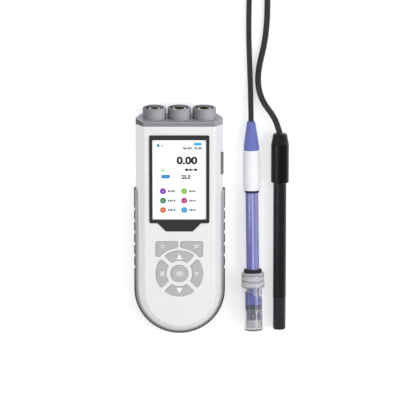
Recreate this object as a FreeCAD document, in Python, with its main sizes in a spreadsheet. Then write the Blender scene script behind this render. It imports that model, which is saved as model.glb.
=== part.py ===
# Hand-held water quality meter with a pH electrode in its storage bottle and a dissolved oxygen probe.
# The meter lies on its back with the screen up: +Z out of the screen, +Y towards the sockets at its head,
# +X to the right of the screen. The origin is on the table, under the middle of the meter's back.
# The two probes lie beside the meter, tips towards -Y, each with its lead, coil and plug beyond the head.
import FreeCAD, Part
import Sketcher
import math
import os
import re

V = FreeCAD.Vector
DOC = FreeCAD.newDocument("WaterQualityMeter")
NODES = {}

# Driving sizes, in millimetres and degrees: alias, value, what it is.
SIZES = [
    ("fine_edge", 0.4, "chamfer of a small turned edge"),
    ("turned_edge", 0.6, "chamfer of a turned edge"),
    ("broad_edge", 0.8, "chamfer of a broad turned edge"),
    ("body_width", 80, "housing at its widest, without the grip"),
    ("body_length", 194, "housing from the cap seam to its round end"),
    ("body_depth", 32, "back face to front face"),
    ("parting_height", 16, "height of the parting line, the widest level"),
    ("front_inset", 7.6, "how far the side comes in from parting line to front"),
    ("back_inset", 5, "how far the side comes in from parting line to back"),
    ("seam_y", 95, "where the head cap meets the shells"),
    ("shell_wall", 2.2, "side and back wall"),
    ("face_wall", 2.4, "front wall"),
    ("front_round", 2.5, "round of the front edge"),
    ("back_round", 4.5, "round of the back edge"),
    ("seat_gap", 0.05, "between fixed pieces that nest"),
    ("seal_inset", 1.25, "housing seal from the outside"),
    ("seal_width", 0.6, "housing seal"),
    ("seal_height", 0.8, "housing seal"),
    ("grip_proud", 1.9, "rubber grip outside the housing"),
    ("grip_edge_proud", 0.5, "grip outside the housing at its edges"),
    ("grip_crown", 2.2, "height over which the grip's edges round off"),
    ("grip_sink", 1.0, "rubber grip let into the housing"),
    ("grip_low", 7.5, "lower edge of the grip"),
    ("grip_high", 20.4, "upper edge of the grip"),
    ("grip_top_y", 36, "where the grip ends on each side"),
    ("notch_pitch", 10.8, "between finger notches"),
    ("notch_first_y", 15.8, "finger notch nearest the head"),
    ("notch_radius", 2.0, "finger notch"),
    ("notch_depth", 1.1, "finger notch"),
    ("notch_count", 6, "finger notches on each side"),
    ("cap_height", 4.1, "head cap at the front"),
    ("cap_slope", 6, "degrees that the cap's top leans to the front"),
    ("cap_wall", 2.6, "head cap"),
    ("skirt_length", 2.6, "cap's skirt inside the shells"),
    ("skirt_wall", 1.6, "cap's skirt"),
    ("collar_radius", 10.8, "socket collar"),
    ("collar_height", 10, "socket collar"),
    ("collar_bore", 8.9, "socket collar, inside"),
    ("collar_edge", 0.8, "chamfer of a collar's outer edge"),
    ("collar_pitch", 22.8, "between sockets"),
    ("window_width", 49, "visible screen"),
    ("window_height", 73.6, "visible screen"),
    ("window_y", 45.8, "middle of the visible screen"),
    ("bezel_side", 2.9, "bezel beside the window"),
    ("bezel_top", 4.4, "bezel above the window"),
    ("bezel_bottom", 3.4, "bezel below the window"),
    ("bezel_corner", 1.6, "bezel corner radius"),
    ("bezel_proud", 0.7, "bezel above the front face"),
    ("bezel_sink", 1.2, "bezel let into the front face"),
    ("tab_top_width", 39.6, "dark tab below the screen, at the screen"),
    ("tab_bottom_width", 24.4, "dark tab below the screen, at the keys"),
    ("tab_length", 7.6, "dark tab below the screen"),
    ("glass_thickness", 1.0, "screen glass"),
    ("glass_lip", 1.8, "glass beyond the window"),
    ("panel_thickness", 2.4, "display panel"),
    ("panel_lip", 0.9, "display panel beyond the window"),
    ("frame_wall", 0.7, "display frame round the panel"),
    ("frame_floor", 0.9, "display frame under the panel"),
    ("frame_foot", 4.0, "foot of the display frame on the board"),
    ("pad_y", -41.4, "middle of the round key pad"),
    ("ring_outer", 21.3, "ring keys, outer radius"),
    ("ring_inner", 12.3, "ring keys, inner radius"),
    ("ring_gap", 2.3, "half of the gap between ring keys"),
    ("enter_radius", 7.9, "middle key"),
    ("corner_top", 29.8, "top of the corner keys above the pad's middle"),
    ("corner_inner", 1.5, "half of the gap between the corner keys"),
    ("corner_arc", 24.1, "hollow side of the corner keys"),
    ("corner_foot", 18.4, "where the hollow side ends, from the centre line"),
    ("corner_rise", 0.9, "how far the foot of a corner key rises outwards"),
    ("key_corner", 1.1, "key corner radius"),
    ("key_edge", 0.35, "round of a key's upper edge"),
    ("key_proud", 0.8, "keys above the front face"),
    ("key_travel", 0.8, "key stroke"),
    ("key_gap", 0.25, "around each key"),
    ("key_lip", 0.6, "flange round the foot of each key"),
    ("lip_thickness", 0.8, "flange round the foot of each key"),
    ("lip_play", 0.2, "flange below the front wall"),
    ("stem_radius", 1.6, "key stem"),
    ("stem_play", 0.05, "pressed stem above its switch"),
    ("mat_thickness", 0.6, "rubber mat under the keys"),
    ("mat_gap", 0.2, "mat below a pressed key's flange"),
    ("mat_rim", 0.9, "rim of the mat that stands on the board"),
    ("mat_width", 44.6, "rubber mat"),
    ("mat_low_y", -65.2, "rubber mat, end away from the screen"),
    ("mat_high_y", -8.6, "rubber mat, end at the screen"),
    ("switch_radius", 16.8, "switches of the ring keys from the pad's middle"),
    ("corner_switch_x", 15.5, "switches of the corner keys from the centre line"),
    ("corner_switch_y", 24.5, "switches of the corner keys above the pad's middle"),
    ("switch_side", 4.5, "tactile switch"),
    ("switch_body", 1.2, "tactile switch without its plunger"),
    ("switch_height", 2.0, "tactile switch with its plunger"),
    ("plunger_radius", 1.2, "tactile switch's plunger"),
    ("board_top", 23.8, "upper side of the circuit board"),
    ("board_thickness", 1.6, "circuit board"),
    ("board_width", 45, "circuit board"),
    ("board_low_y", -66, "circuit board, end at the keys"),
    ("board_high_y", 82, "circuit board, end at the head"),
    ("boss_radius", 3.6, "screw boss"),
    ("boss_high_x", 29.9, "screw bosses near the head, from the centre line"),
    ("boss_high_y", 87, "screw bosses near the head"),
    ("boss_mid_x", 26.5, "bosses at the middle, from the centre line"),
    ("boss_mid_y", 3, "bosses at the middle"),
    ("boss_low_x", 20, "bosses near the round end, from the centre line"),
    ("boss_low_y", -74, "bosses near the round end"),
    ("screw_radius", 1.25, "shell screw, thread"),
    ("screw_head_radius", 2.4, "shell screw, head"),
    ("screw_head_height", 1.8, "shell screw, head"),
    ("screw_length", 17, "shell screw below its head"),
    ("screw_recess", 5, "seat of the screw heads above the back face"),
    ("screw_gap", 0.2, "around a screw in the back shell"),
    ("door_width", 44, "battery door"),
    ("door_low_y", 1.5, "battery door, end at the keys"),
    ("door_high_y", 86.5, "battery door, end at the head"),
    ("door_corner", 2.5, "battery door corner radius"),
    ("door_thickness", 2.0, "battery door"),
    ("door_recess", 0.3, "battery door below the back face"),
    ("door_gap", 0.25, "around the battery door"),
    ("door_rim", 1.5, "wall round the battery door's seat"),
    ("door_seal_height", 0.6, "battery door seal"),
    ("door_seal_width", 1.2, "battery door seal"),
    ("door_seal_inset", 0.3, "battery door seal from the edge of the bay"),
    ("door_groove", 1.2, "finger grooves in the battery door"),
    ("door_groove_depth", 0.6, "finger grooves in the battery door"),
    ("door_groove_pitch", 3, "finger grooves in the battery door"),
    ("door_grooves", 4, "finger grooves in the battery door"),
    ("ledge_width", 2.2, "ledge over the door's long sides"),
    ("ledge_end", 6.8, "ledge over the door's ends"),
    ("ledge_thickness", 1.5, "ledge over the battery door"),
    ("door_screw_inset", 3.0, "door screws from the door's ends"),
    ("door_screw_radius", 1.0, "door screw, thread"),
    ("door_head_radius", 2.1, "door screw, head"),
    ("door_head_height", 1.2, "door screw, head"),
    ("cell_radius", 9.2, "battery cell"),
    ("cell_length", 65, "battery cell"),
    ("cell_gap", 0.4, "around the battery cells"),
    ("cell_nub_radius", 3.2, "raised end of a battery cell"),
    ("cell_nub", 1.2, "raised end of a battery cell"),
    ("tray_wall", 1.0, "battery tray"),
    ("tray_roof", 0.8, "battery tray over the cells"),
    ("contact_side", 9, "battery contact plate"),
    ("contact_plate", 0.5, "battery contact plate"),
    ("spring_radius", 3.6, "battery contact spring at its plate"),
    ("port_y", 59, "middle of the charging port"),
    ("port_length", 20.5, "port cover along the side"),
    ("port_height", 8.6, "port cover"),
    ("port_sink", 1.0, "port cover let into the side"),
    ("port_proud", 0.6, "port cover outside the side"),
    ("port_gap", 0.25, "around the port cover"),
    ("port_swing_gap", 0.2, "behind the port cover, for its swing"),
    ("plug_width", 9.0, "charging connector"),
    ("plug_height", 3.2, "charging connector"),
    ("plug_depth", 8.4, "charging connector"),
    ("plug_wall", 0.35, "charging connector's shell"),
    ("plug_gap", 0.15, "around the charging connector"),
    ("plug_floor", 1.5, "closed end of the charging connector"),
    ("tongue_width", 5.3, "tongue in the charging connector"),
    ("tongue_thickness", 0.7, "tongue in the charging connector"),
    ("riser_width", 10, "small board under the charging connector"),
    ("riser_length", 14, "small board under the charging connector"),
    ("riser_thickness", 1.2, "small board under the charging connector"),
    ("post_radius", 1.8, "posts under the small board"),
    ("bnc_barrel", 4.85, "bayonet socket barrel beyond its lugs"),
    ("bnc_root", 5.05, "bayonet socket barrel up to its lugs"),
    ("bnc_bore", 4.1, "bayonet socket, inside"),
    ("bnc_thread", 5.5, "bayonet socket through the cap"),
    ("bnc_flange", 6.6, "bayonet socket flange"),
    ("lug_height", 4.6, "bayonet lugs above the cap"),
    ("lug_radius", 0.95, "bayonet lug"),
    ("lug_reach", 5.8, "bayonet lugs from the socket's axis"),
    ("round_barrel", 6.0, "round socket barrel and thread"),
    ("round_bore", 5.1, "round socket, inside"),
    ("round_flange", 7.6, "round socket flange"),
    ("jack_height", 9.4, "sockets above the cap"),
    ("jack_tail", 6.0, "sockets behind the cap's wall"),
    ("jack_floor", 1.6, "rear wall of a socket"),
    ("flange_thickness", 1.2, "socket flange"),
    ("jack_seal", 0.8, "seal under a socket flange"),
    ("thread_gap", 0.1, "around a socket in the cap and in its nut"),
    ("nut_flats", 7.6, "socket nut, centre to flat"),
    ("nut_thickness", 2.2, "socket nut"),
    ("pin_radius", 0.5, "contact pin of a round socket"),
    ("pin_depth", 2.0, "round socket's pins below its rim"),
    ("bnc_contact", 0.75, "bayonet socket's contact"),
    ("bnc_core", 2.35, "insulator round the bayonet socket's contact"),
    ("core_depth", 3.0, "bayonet socket's insulator below its rim"),
    ("pin_circle", 2.6, "contact pins round the socket's axis"),
    ("pin_tail", 2.0, "contacts behind the socket"),
    ("wire_radius", 0.7, "lead from a socket to the board"),
    ("ph_tip_x", 68.3, "pH electrode's tip from the meter's centre line"),
    ("ph_tip_y", -91.2, "pH electrode's tip along the meter"),
    ("ph_lean", 0.78, "degrees that the pH electrode leans to the meter"),
    ("floor_gap", 0.05, "a lying piece above the table"),
    ("tube_radius", 6.05, "pH electrode's tube"),
    ("tube_bore", 4.9, "pH electrode's tube, inside"),
    ("tube_length", 123.6, "pH electrode's tube outside the handle"),
    ("guard_length", 11, "slotted end of the tube round the bulb"),
    ("guard_slot", 3.4, "slot in the tube's end"),
    ("handle_length", 37.1, "pH electrode's handle"),
    ("handle_radius", 8.1, "pH electrode's handle at its belly"),
    ("handle_foot_radius", 7.4, "pH electrode's handle at the tube"),
    ("handle_top_radius", 7.4, "pH electrode's handle at the boot"),
    ("belly_height", 18.4, "handle's belly above the handle's foot"),
    ("boot_length", 26.7, "pH electrode's lead boot"),
    ("boot_radius", 7.2, "lead boot at the handle"),
    ("boot_tip_radius", 3.5, "lead boot at the lead"),
    ("boot_spigot", 6, "lead boot inside the handle"),
    ("spigot_radius", 5.0, "lead boot inside the handle"),
    ("socket_depth", 12, "tube inside the handle"),
    ("bulb_radius", 3.4, "glass bulb"),
    ("bulb_height", 4.6, "middle of the glass bulb above the tube's tip"),
    ("glass_wall", 0.8, "glass stem and bulb"),
    ("stem_outer", 2.2, "glass stem"),
    ("plug_low", 13.5, "porous plug above the tube's tip"),
    ("plug_length", 3.2, "porous plug round the glass stem"),
    ("silver_radius", 0.9, "silver wire"),
    ("silver_low", 6, "silver wire's end above the tube's tip"),
    ("collar_ring_radius", 6.7, "dark ring under the handle"),
    ("collar_ring_height", 2.4, "dark ring under the handle"),
    ("bottle_radius", 8.7, "storage bottle"),
    ("bottle_wall", 1.1, "storage bottle"),
    ("bottle_floor", 3.0, "storage bottle, closed end"),
    ("bottle_end", 8.3, "storage bottle beyond the electrode's tip"),
    ("bottle_mouth", 44.4, "storage bottle's mouth above the electrode's tip"),
    ("bottle_round", 1.6, "storage bottle's foot edge"),
    ("nut_radius", 10.65, "storage bottle's nut"),
    ("nut_low", 32.8, "nut's open end above the electrode's tip"),
    ("nut_high", 46.6, "nut's closed end above the electrode's tip"),
    ("nut_gap", 0.2, "between the bottle and its nut"),
    ("nut_hole", 7.8, "nut's hole round the tube"),
    ("flute_count", 18, "grip flutes on the nut"),
    ("flute_radius", 0.7, "grip flutes on the nut"),
    ("flute_margin", 2, "nut beyond its flutes at each end"),
    ("flute_lift", 0.4, "middle of a flute outside the surface, in its own radius"),
    ("ring_height", 3.2, "rubber ring on the nut"),
    ("ring_radius", 8.3, "rubber ring on the nut"),
    ("ring_hole", 6.3, "rubber ring round the tube"),
    ("do_tip_x", 92.4, "oxygen probe's tip from the meter's centre line"),
    ("do_tip_y", -99, "oxygen probe's tip along the meter"),
    ("shaft_radius", 6.0, "oxygen probe's shaft"),
    ("shaft_bore", 4.4, "oxygen probe's shaft, inside"),
    ("shaft_low", 30.2, "where the membrane cap meets the shaft"),
    ("shaft_high", 138.3, "where the shaft enters the head"),
    ("shaft_tenon", 10, "shaft inside the head"),
    ("tenon_radius", 5.4, "shaft inside the head"),
    ("head_radius", 8.25, "oxygen probe's head"),
    ("head_length", 35.8, "oxygen probe's head without its gland"),
    ("head_edge", 0.8, "chamfer of the head's lower edge"),
    ("gland_length", 10, "oxygen probe's gland"),
    ("gland_foot_radius", 8.1, "oxygen probe's gland at the head"),
    ("gland_radius", 6.5, "oxygen probe's gland at the lead"),
    ("gland_spigot", 5, "gland inside the head"),
    ("gland_core", 5.5, "gland inside the head"),
    ("cap_radius", 5.8, "membrane cap"),
    ("cap_bore", 4.85, "membrane cap, inside"),
    ("cap_lip", 1.2, "rim that holds the membrane"),
    ("cap_opening", 3.3, "membrane's opening"),
    ("cap_groove_depth", 0.35, "groove round the membrane cap"),
    ("cap_groove", 9.4, "groove round the membrane cap above its tip"),
    ("cap_clearance", 0.1, "between membrane cap and shaft"),
    ("membrane_thickness", 0.3, "membrane"),
    ("sensor_tip", 2.0, "sensor's tip above the membrane cap's tip"),
    ("sensor_nose_radius", 3.2, "sensor's nose"),
    ("sensor_nose", 12, "sensor's nose"),
    ("sensor_cone", 1.5, "taper from the sensor's nose to its thread"),
    ("sensor_thread", 4.65, "sensor's thread in the membrane cap"),
    ("sensor_high", 46, "sensor's end inside the shaft"),
    ("ph_lead", 5.0, "pH lead's diameter"),
    ("do_lead", 5.6, "oxygen lead's diameter"),
    ("ph_first_run", 12, "pH lead's first run, straight out of its boot"),
    ("gland_grip", 1, "oxygen lead inside its gland"),
    ("coil_floor", 0.9, "underside of the coils above the table"),
    ("coil_layers", 2, "layers of turns in a coil"),
    ("ph_coil_x", 33, "middle of the pH lead's coil"),
    ("ph_coil_y", 248, "middle of the pH lead's coil"),
    ("ph_turn", 32, "outer turns of the pH lead's coil"),
    ("do_coil_x", 115, "middle of the oxygen lead's coil"),
    ("do_coil_y", 251, "middle of the oxygen lead's coil"),
    ("do_turn", 34.6, "outer turns of the oxygen lead's coil"),
    ("tie_angle", 20, "degrees of the coil that its strap covers"),
    ("ph_tie_at", 205, "degrees round the pH lead's coil to its strap"),
    ("do_tie_at", -35, "degrees round the oxygen lead's coil to its strap"),
    ("ph_leave_at", 135, "degrees round the coil to where the pH plug leaves it"),
    ("do_leave_at", 45, "degrees round the coil to where the oxygen plug leaves it"),
    ("tie_thickness", 0.7, "strap round a coil"),
    ("bnc_boot", 14, "bayonet plug's boot"),
    ("bnc_boot_radius", 3.0, "bayonet plug's boot at the lead"),
    ("bnc_body", 20.5, "bayonet plug up to its ring"),
    ("bnc_body_radius", 5.6, "bayonet plug's body"),
    ("bnc_step", 1.2, "step from the bayonet plug's body down to its boot"),
    ("bnc_neck", 4.2, "bayonet plug inside its ring"),
    ("bnc_neck_length", 3.0, "bayonet plug inside its ring"),
    ("bnc_sleeve", 3.9, "bayonet plug's inner sleeve"),
    ("sleeve_wall", 0.5, "bayonet plug's inner sleeve"),
    ("bnc_reach", 9, "bayonet plug's inner sleeve"),
    ("bayonet_radius", 7.25, "bayonet ring"),
    ("bayonet_bore", 5.25, "bayonet ring, inside"),
    ("bayonet_length", 12.4, "bayonet ring"),
    ("bayonet_web", 2.0, "rear wall of the bayonet ring"),
    ("bayonet_slot", 2.2, "slots of the bayonet ring"),
    ("bayonet_slot_depth", 6, "slots of the bayonet ring"),
    ("ring_play", 0.2, "between a plug and its turning ring"),
    ("knurl_count", 16, "grip flutes on a plug's ring"),
    ("knurl_radius", 0.5, "grip flutes on a plug's ring"),
    ("ring_knurl", 4, "length of the grip flutes on the bayonet ring"),
    ("nut_knurl", 8, "length of the grip flutes on the round plug's nut"),
    ("knurl_start", 1.1, "grip flutes from the ring's rear end"),
    ("round_boot", 18, "round plug's boot"),
    ("round_boot_radius", 3.3, "round plug's boot at the lead"),
    ("round_body", 26.5, "round plug up to its nut"),
    ("round_body_radius", 6.8, "round plug's body"),
    ("round_step", 1.4, "step from the round plug's body down to its boot"),
    ("round_neck", 5.3, "round plug inside its nut"),
    ("round_neck_length", 3.2, "round plug inside its nut"),
    ("round_insert", 4.9, "round plug's contact insert"),
    ("round_reach", 7, "round plug's contact insert"),
    ("coupling_radius", 8.0, "round plug's nut"),
    ("coupling_bore", 6.2, "round plug's nut, inside"),
    ("coupling_length", 12.4, "round plug's nut"),
    ("coupling_web", 1.6, "rear wall of the round plug's nut"),
]
SHEET = DOC.addObject("Spreadsheet::Sheet", "Sizes")
for row, (alias, value, meaning) in enumerate(SIZES, start=1):
    SHEET.set(f"A{row}", meaning)
    SHEET.set(f"B{row}", str(value))
    SHEET.setAlias(f"B{row}", alias)
DOC.recompute()
ALIASES = {alias for alias, value, meaning in SIZES}


def bound(expression):
    """The expression with each size's name pointing into the sheet."""
    def full(match):
        word = match.group(0)
        return f"Sizes.{word}" if word in ALIASES else word
    return re.sub(r"[a-z][a-z_]*", full, str(expression))


def num(expression):
    """The expression's value in millimetres or degrees."""
    return float(SHEET.evalExpression(bound(expression)))


# Sketches and features.
def new_body(label):
    """An empty body; its label names the node."""
    body = DOC.addObject("PartDesign::Body", label)
    body.Label = label
    return body


def new_sketch(body, name, plane="XY", lift="0"):
    """A sketch on one of the body's own planes, lifted along that plane's normal."""
    sketch = body.newObject("Sketcher::SketchObject", f"{body.Name}_{name}")
    base = [o for o in body.Origin.OriginFeatures if o.Role == f"{plane}_Plane"][0]
    sketch.AttachmentSupport = [(base, "")]
    sketch.MapMode = "FlatFace"
    sketch.AttachmentOffset = FreeCAD.Placement(V(0, 0, num(lift)), FreeCAD.Rotation())
    sketch.setExpression("AttachmentOffset.Base.z", bound(lift))
    return sketch


def fix(sketch, kind, *where, size):
    """A dimension of the sketch, bound to the sheet."""
    index = sketch.addConstraint(Sketcher.Constraint(kind, *where, num(size)))
    sketch.setExpression(f"Constraints[{index}]", bound(size))


def arc_between(start, end, radius, left):
    """An arc from start to end whose centre is on the left or right of the way between them."""
    chord = end - start
    height = math.sqrt(max(radius**2 - chord.Length**2 / 4, 0))
    side = V(-chord.y, chord.x, 0).normalize() * (height if left else -height)
    centre = start + chord / 2 + side
    first, last = (start, end) if left else (end, start)
    angles = [math.atan2(p.y - centre.y, p.x - centre.x) for p in (first, last)]
    if angles[1] < angles[0]:
        angles[1] += 2 * math.pi
    return Part.ArcOfCircle(Part.Circle(centre, V(0, 0, 1), radius), *angles)


def draw(sketch, corners):
    """A closed outline. A corner is (x, y), or (x, y, radius, "left" or "right") with an arc to it."""
    first = sketch.GeometryCount
    points = [V(num(c[0]), num(c[1]), 0) for c in corners]
    count = len(corners)
    ends = []
    for i, corner in enumerate(corners):
        start, end = points[i - 1], points[i]
        if len(corner) == 2:
            sketch.addGeometry(Part.LineSegment(start, end), False)
            ends.append((1, 2))
        else:
            left = corner[3] == "left"
            sketch.addGeometry(arc_between(start, end, num(corner[2]), left), False)
            ends.append((1, 2) if left else (2, 1))
    for i, corner in enumerate(corners):
        after = (i + 1) % count
        this, following = first + i, first + after
        sketch.addConstraint(Sketcher.Constraint("Coincident", this, ends[i][1], following, ends[after][0]))
        fix(sketch, "DistanceX", -1, 1, this, ends[i][1], size=corner[0])
        fix(sketch, "DistanceY", -1, 1, this, ends[i][1], size=corner[1])
        if len(corner) > 2:
            fix(sketch, "Radius", this, size=corner[2])
    return sketch


def circle(sketch, x, y, radius):
    """A whole circle."""
    index = sketch.addGeometry(Part.Circle(V(num(x), num(y), 0), V(0, 0, 1), num(radius)), False)
    fix(sketch, "DistanceX", -1, 1, index, 3, size=x)
    fix(sketch, "DistanceY", -1, 1, index, 3, size=y)
    fix(sketch, "Radius", index, size=radius)
    return sketch


def rectangle(low_x, low_y, high_x, high_y):
    """The corners of a rectangle."""
    return [(low_x, low_y), (high_x, low_y), (high_x, high_y), (low_x, high_y)]


def extrude(kind, sketch, length, back=False, middle=False):
    """A Pad or Pocket of the sketch."""
    body = sketch.getParentGeoFeatureGroup()
    before = None if body.Tip is None else body.Shape.Volume
    feature = body.newObject(f"PartDesign::{kind}", f"{sketch.Name}_{kind}")
    feature.Profile = sketch
    feature.Length = num(length)
    feature.setExpression("Length", bound(length))
    feature.Reversed = back
    if middle:
        feature.SideType = "Symmetric"
    sketch.Visibility = False
    DOC.recompute()
    if before is not None and abs(body.Shape.Volume - before) < 1e-6:
        raise ValueError(f"{feature.Name} changes nothing")
    return feature


def pad(sketch, length, **way):
    return extrude("Pad", sketch, length, **way)


def pocket(sketch, length, **way):
    return extrude("Pocket", sketch, length, **way)


def spin(sketch, kind="Revolution"):
    """The sketch turned all round its vertical axis."""
    body = sketch.getParentGeoFeatureGroup()
    feature = body.newObject(f"PartDesign::{kind}", f"{sketch.Name}_{kind}")
    feature.Profile = sketch
    feature.ReferenceAxis = (sketch, ["V_Axis"])
    feature.Angle = 360
    DOC.recompute()
    return feature


def soften(body, chosen, size, kind="Fillet"):
    """A fillet or chamfer on the edges that chosen picks by their bounding box."""
    base = body.Tip
    picked = [f"Edge{i}" for i, e in enumerate(base.Shape.Edges, start=1) if chosen(e.BoundBox, e)]
    feature = body.newObject(f"PartDesign::{kind}", f"{base.Name}_{kind}")
    feature.Base = (base, picked)
    name = "Radius" if kind == "Fillet" else "Size"
    setattr(feature, name, num(size))
    feature.setExpression(name, bound(size))
    DOC.recompute()
    return feature


def turned(label, profile):
    """A body of revolution about Z from (radius, height) corners."""
    body = new_body(label)
    spin(draw(new_sketch(body, "profile", "XZ"), profile))
    return body


def repeat(body, feature, direction, pitch, count, back=False):
    """A row of copies of the body's last feature."""
    row = body.newObject("PartDesign::LinearPattern", f"{feature.Name}_row")
    row.Originals = [feature]
    row.Direction = direction
    row.Reversed = back
    row.Length = num(f"{pitch} * ({count} - 1)")
    row.setExpression("Length", bound(f"{pitch} * ({count} - 1)"))
    row.Occurrences = int(num(count))
    row.setExpression("Occurrences", bound(count))
    body.Tip = row
    DOC.recompute()
    return row


def keep(item, label=None):
    """Hands the object in as a node."""
    item.Label = label or item.Label
    NODES[item.Label] = item
    return item


def combined(kind, label, base, tool):
    """A Part::Cut or Part::Common of two objects."""
    result = DOC.addObject(f"Part::{kind}", label)
    result.Base = base
    result.Tool = tool
    DOC.recompute()
    return result


def group(label, shapes):
    """Separate solids that share one node."""
    item = DOC.addObject("Part::Feature", label)
    item.Shape = Part.makeCompound([s for shape in shapes for s in shape.Solids])
    return keep(item)


def moved(shape, placement):
    """A copy of the shape, placed."""
    copy = shape.copy()
    copy.Placement = placement.multiply(copy.Placement)
    return copy


# The housing's form: one section, drawn from its middle line outwards, drawn out to the head and turned
# round the middle of the body's round end. The sides come in to the front and to the back.
END_Y = "(seam_y - body_length + body_width / 2)"
CAP_FRONT = "(seam_y + cap_height)"
FRONT_LEAN = "atan(front_inset / (body_depth - parting_height))"
BACK_LEAN = "atan(back_inset / parting_height)"


def half_width(height, grow="0"):
    """Half of the housing's width at a height, grown outwards."""
    if num(height) >= num("parting_height"):
        share = f"front_inset * ({height} - parting_height) / (body_depth - parting_height)"
    else:
        share = f"back_inset * (parting_height - ({height})) / parting_height"
    return f"(body_width / 2 - {share} + {grow})"


def side(height, grow="0"):
    """A corner of the section on its right side."""
    return half_width(height, grow), height


def front_corner(grow="0"):
    """The rounded corner between side and front."""
    trim = f"(front_round * tan((90 deg - {FRONT_LEAN}) / 2))"
    half = half_width("body_depth", grow)
    return [
        (f"{half} + {trim} * sin({FRONT_LEAN})", f"body_depth - {trim} * cos({FRONT_LEAN})"),
        (f"{half} - {trim}", "body_depth", "front_round", "left"),
    ]


def back_corner(grow="0"):
    """The rounded corner between back and side."""
    trim = f"(back_round * tan((90 deg - {BACK_LEAN}) / 2))"
    half = half_width("0", grow)
    return [
        (f"{half} - {trim}", "0"),
        (f"{half} + {trim} * sin({BACK_LEAN})", f"{trim} * cos({BACK_LEAN})", "back_round", "left"),
    ]


def section(body, name, corners, place, half=False):
    """The section at a y level, or its right half; the corners run from the lowest to the highest."""
    low, high = corners[0][1], corners[-1][1]
    sketch = new_sketch(body, name, "XZ", lift=f"-({place})")
    if half:
        return draw(sketch, [("0", low), *corners, ("0", high)])
    mirrored = []
    arc = ()
    for x, z, *rounding in reversed(corners):
        mirrored.append((f"-({x})", z, *arc))
        arc = rounding
    return draw(sketch, [*corners, *mirrored])


def hull(body, name, corners, head, cut=False):
    """The section drawn out from the round end's middle to the head, and turned about that middle."""
    drawn = section(body, f"{name}_section", corners, END_Y)
    extrude("Pocket" if cut else "Pad", drawn, f"{head} - {END_Y}", back=not cut)
    spin(section(body, f"{name}_round", corners, END_Y, half=True), "Groove" if cut else "Revolution")


def form(label, grow, head):
    """The whole housing's form, grown outwards, as a tool for what follows its sides."""
    body = new_body(label)
    hull(body, "form", [side("0", grow), side("parting_height", grow), side("body_depth", grow)], head)
    return body


def flat_outline(body, name, height, grow, head):
    """The housing's outline at a height: two straight sides and a round end."""
    half = half_width(height, grow)
    corners = [
        (f"-{half}", head),
        (f"-{half}", END_Y),
        ("0", f"{END_Y} - {half}", half, "left"),
        (half, END_Y, half, "left"),
        (half, head),
    ]
    return draw(new_sketch(body, name, lift=height), corners)


def box_body(label, low, high):
    """A rectangular block from one corner to the other."""
    block = DOC.addObject("Part::Box", label)
    for side, axis in zip(("Length", "Width", "Height"), range(3)):
        setattr(block, side, num(f"{high[axis]} - ({low[axis]})"))
        block.setExpression(side, bound(f"{high[axis]} - ({low[axis]})"))
    block.Placement.Base = V(*[num(c) for c in low])
    for letter, corner in zip("xyz", low):
        block.setExpression(f"Placement.Base.{letter}", bound(corner))
    return block


def cap_top(height, sink="0"):
    """Where the cap's sloping top lies at a height, or a plane sunk below it."""
    return f"({CAP_FRONT} + (body_depth - ({height})) * tan(cap_slope) - ({sink}) / cos(cap_slope))"


def slope_cut(body, sink):
    """Cuts off what lies beyond the cap's sloping top, or beyond a plane sunk below it."""
    beyond = f"({CAP_FRONT} + 3 * cap_height + body_depth)"
    low, high = "-1", "body_depth + 1"
    corners = [(cap_top(low, sink), low), (beyond, low), (beyond, high), (cap_top(high, sink), high)]
    pocket(draw(new_sketch(body, "slope", "YZ"), corners), "2 * body_width", middle=True)


def side_block(label, grow, low_z, high_z, low_y, sink):
    """A block with the housing's sides between two heights, cut off by the cap's sloping top."""
    body = new_body(label)
    corners = [side(low_z, grow), side("parting_height", grow), side(high_z, grow)]
    drawn = section(body, "section", corners, low_y)
    extrude("Pad", drawn, f"{CAP_FRONT} + 2 * cap_height + body_depth - ({low_y})", back=True)
    slope_cut(body, sink)
    return body


def wrap(label, grow, sink, zone):
    """The skin between two grown forms, inside a zone."""
    outer = combined("Common", f"{label}_skin", form(f"{label}_outer", grow, "seam_y"), zone)
    return combined("Cut", label, outer, form(f"{label}_inner", f"-({sink})", "seam_y + 1"))


FACE = "(body_depth - face_wall)"
BOARD_LOW = "(board_top - board_thickness)"
BOSSES = [
    (f"{sign}{x}", y)
    for sign in ("-", "")
    for x, y in (("boss_high_x", "boss_high_y"), ("boss_mid_x", "boss_mid_y"), ("boss_low_x", "boss_low_y"))
]


# The rubber grip: a band let into both shells, round the sides and the round end.
def grip_zone():
    """The grip's outline seen from the side, with a rounded end towards the head."""
    body = new_body("grip_zone")
    round_end = "((grip_high - grip_low) / 2)"
    far = "(seam_y - body_length - grip_proud - 1)"
    corners = [
        (far, "grip_high"),
        (far, "grip_low"),
        (f"grip_top_y - {round_end}", "grip_low"),
        ("grip_top_y", f"grip_low + {round_end}", round_end, "left"),
        (f"grip_top_y - {round_end}", "grip_high", round_end, "left"),
    ]
    pad(draw(new_sketch(body, "side", "YZ"), corners), "body_width + 20", middle=True)
    return body


def grip_band():
    """The grip's crowned band before its notches."""
    body = new_body("grip_band")
    corners = [
        side("grip_low", "grip_edge_proud"),
        side("grip_low + grip_crown", "grip_proud"),
        side("parting_height", "grip_proud"),
        side("grip_high - grip_crown", "grip_proud"),
        side("grip_high", "grip_edge_proud"),
    ]
    hull(body, "band", corners, "seam_y")
    skin = combined("Common", "grip_skin", body, grip_zone())
    return combined("Cut", "grip_moulding", skin, form("grip_inner", "seat_gap - grip_sink", "seam_y + 1"))


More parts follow.
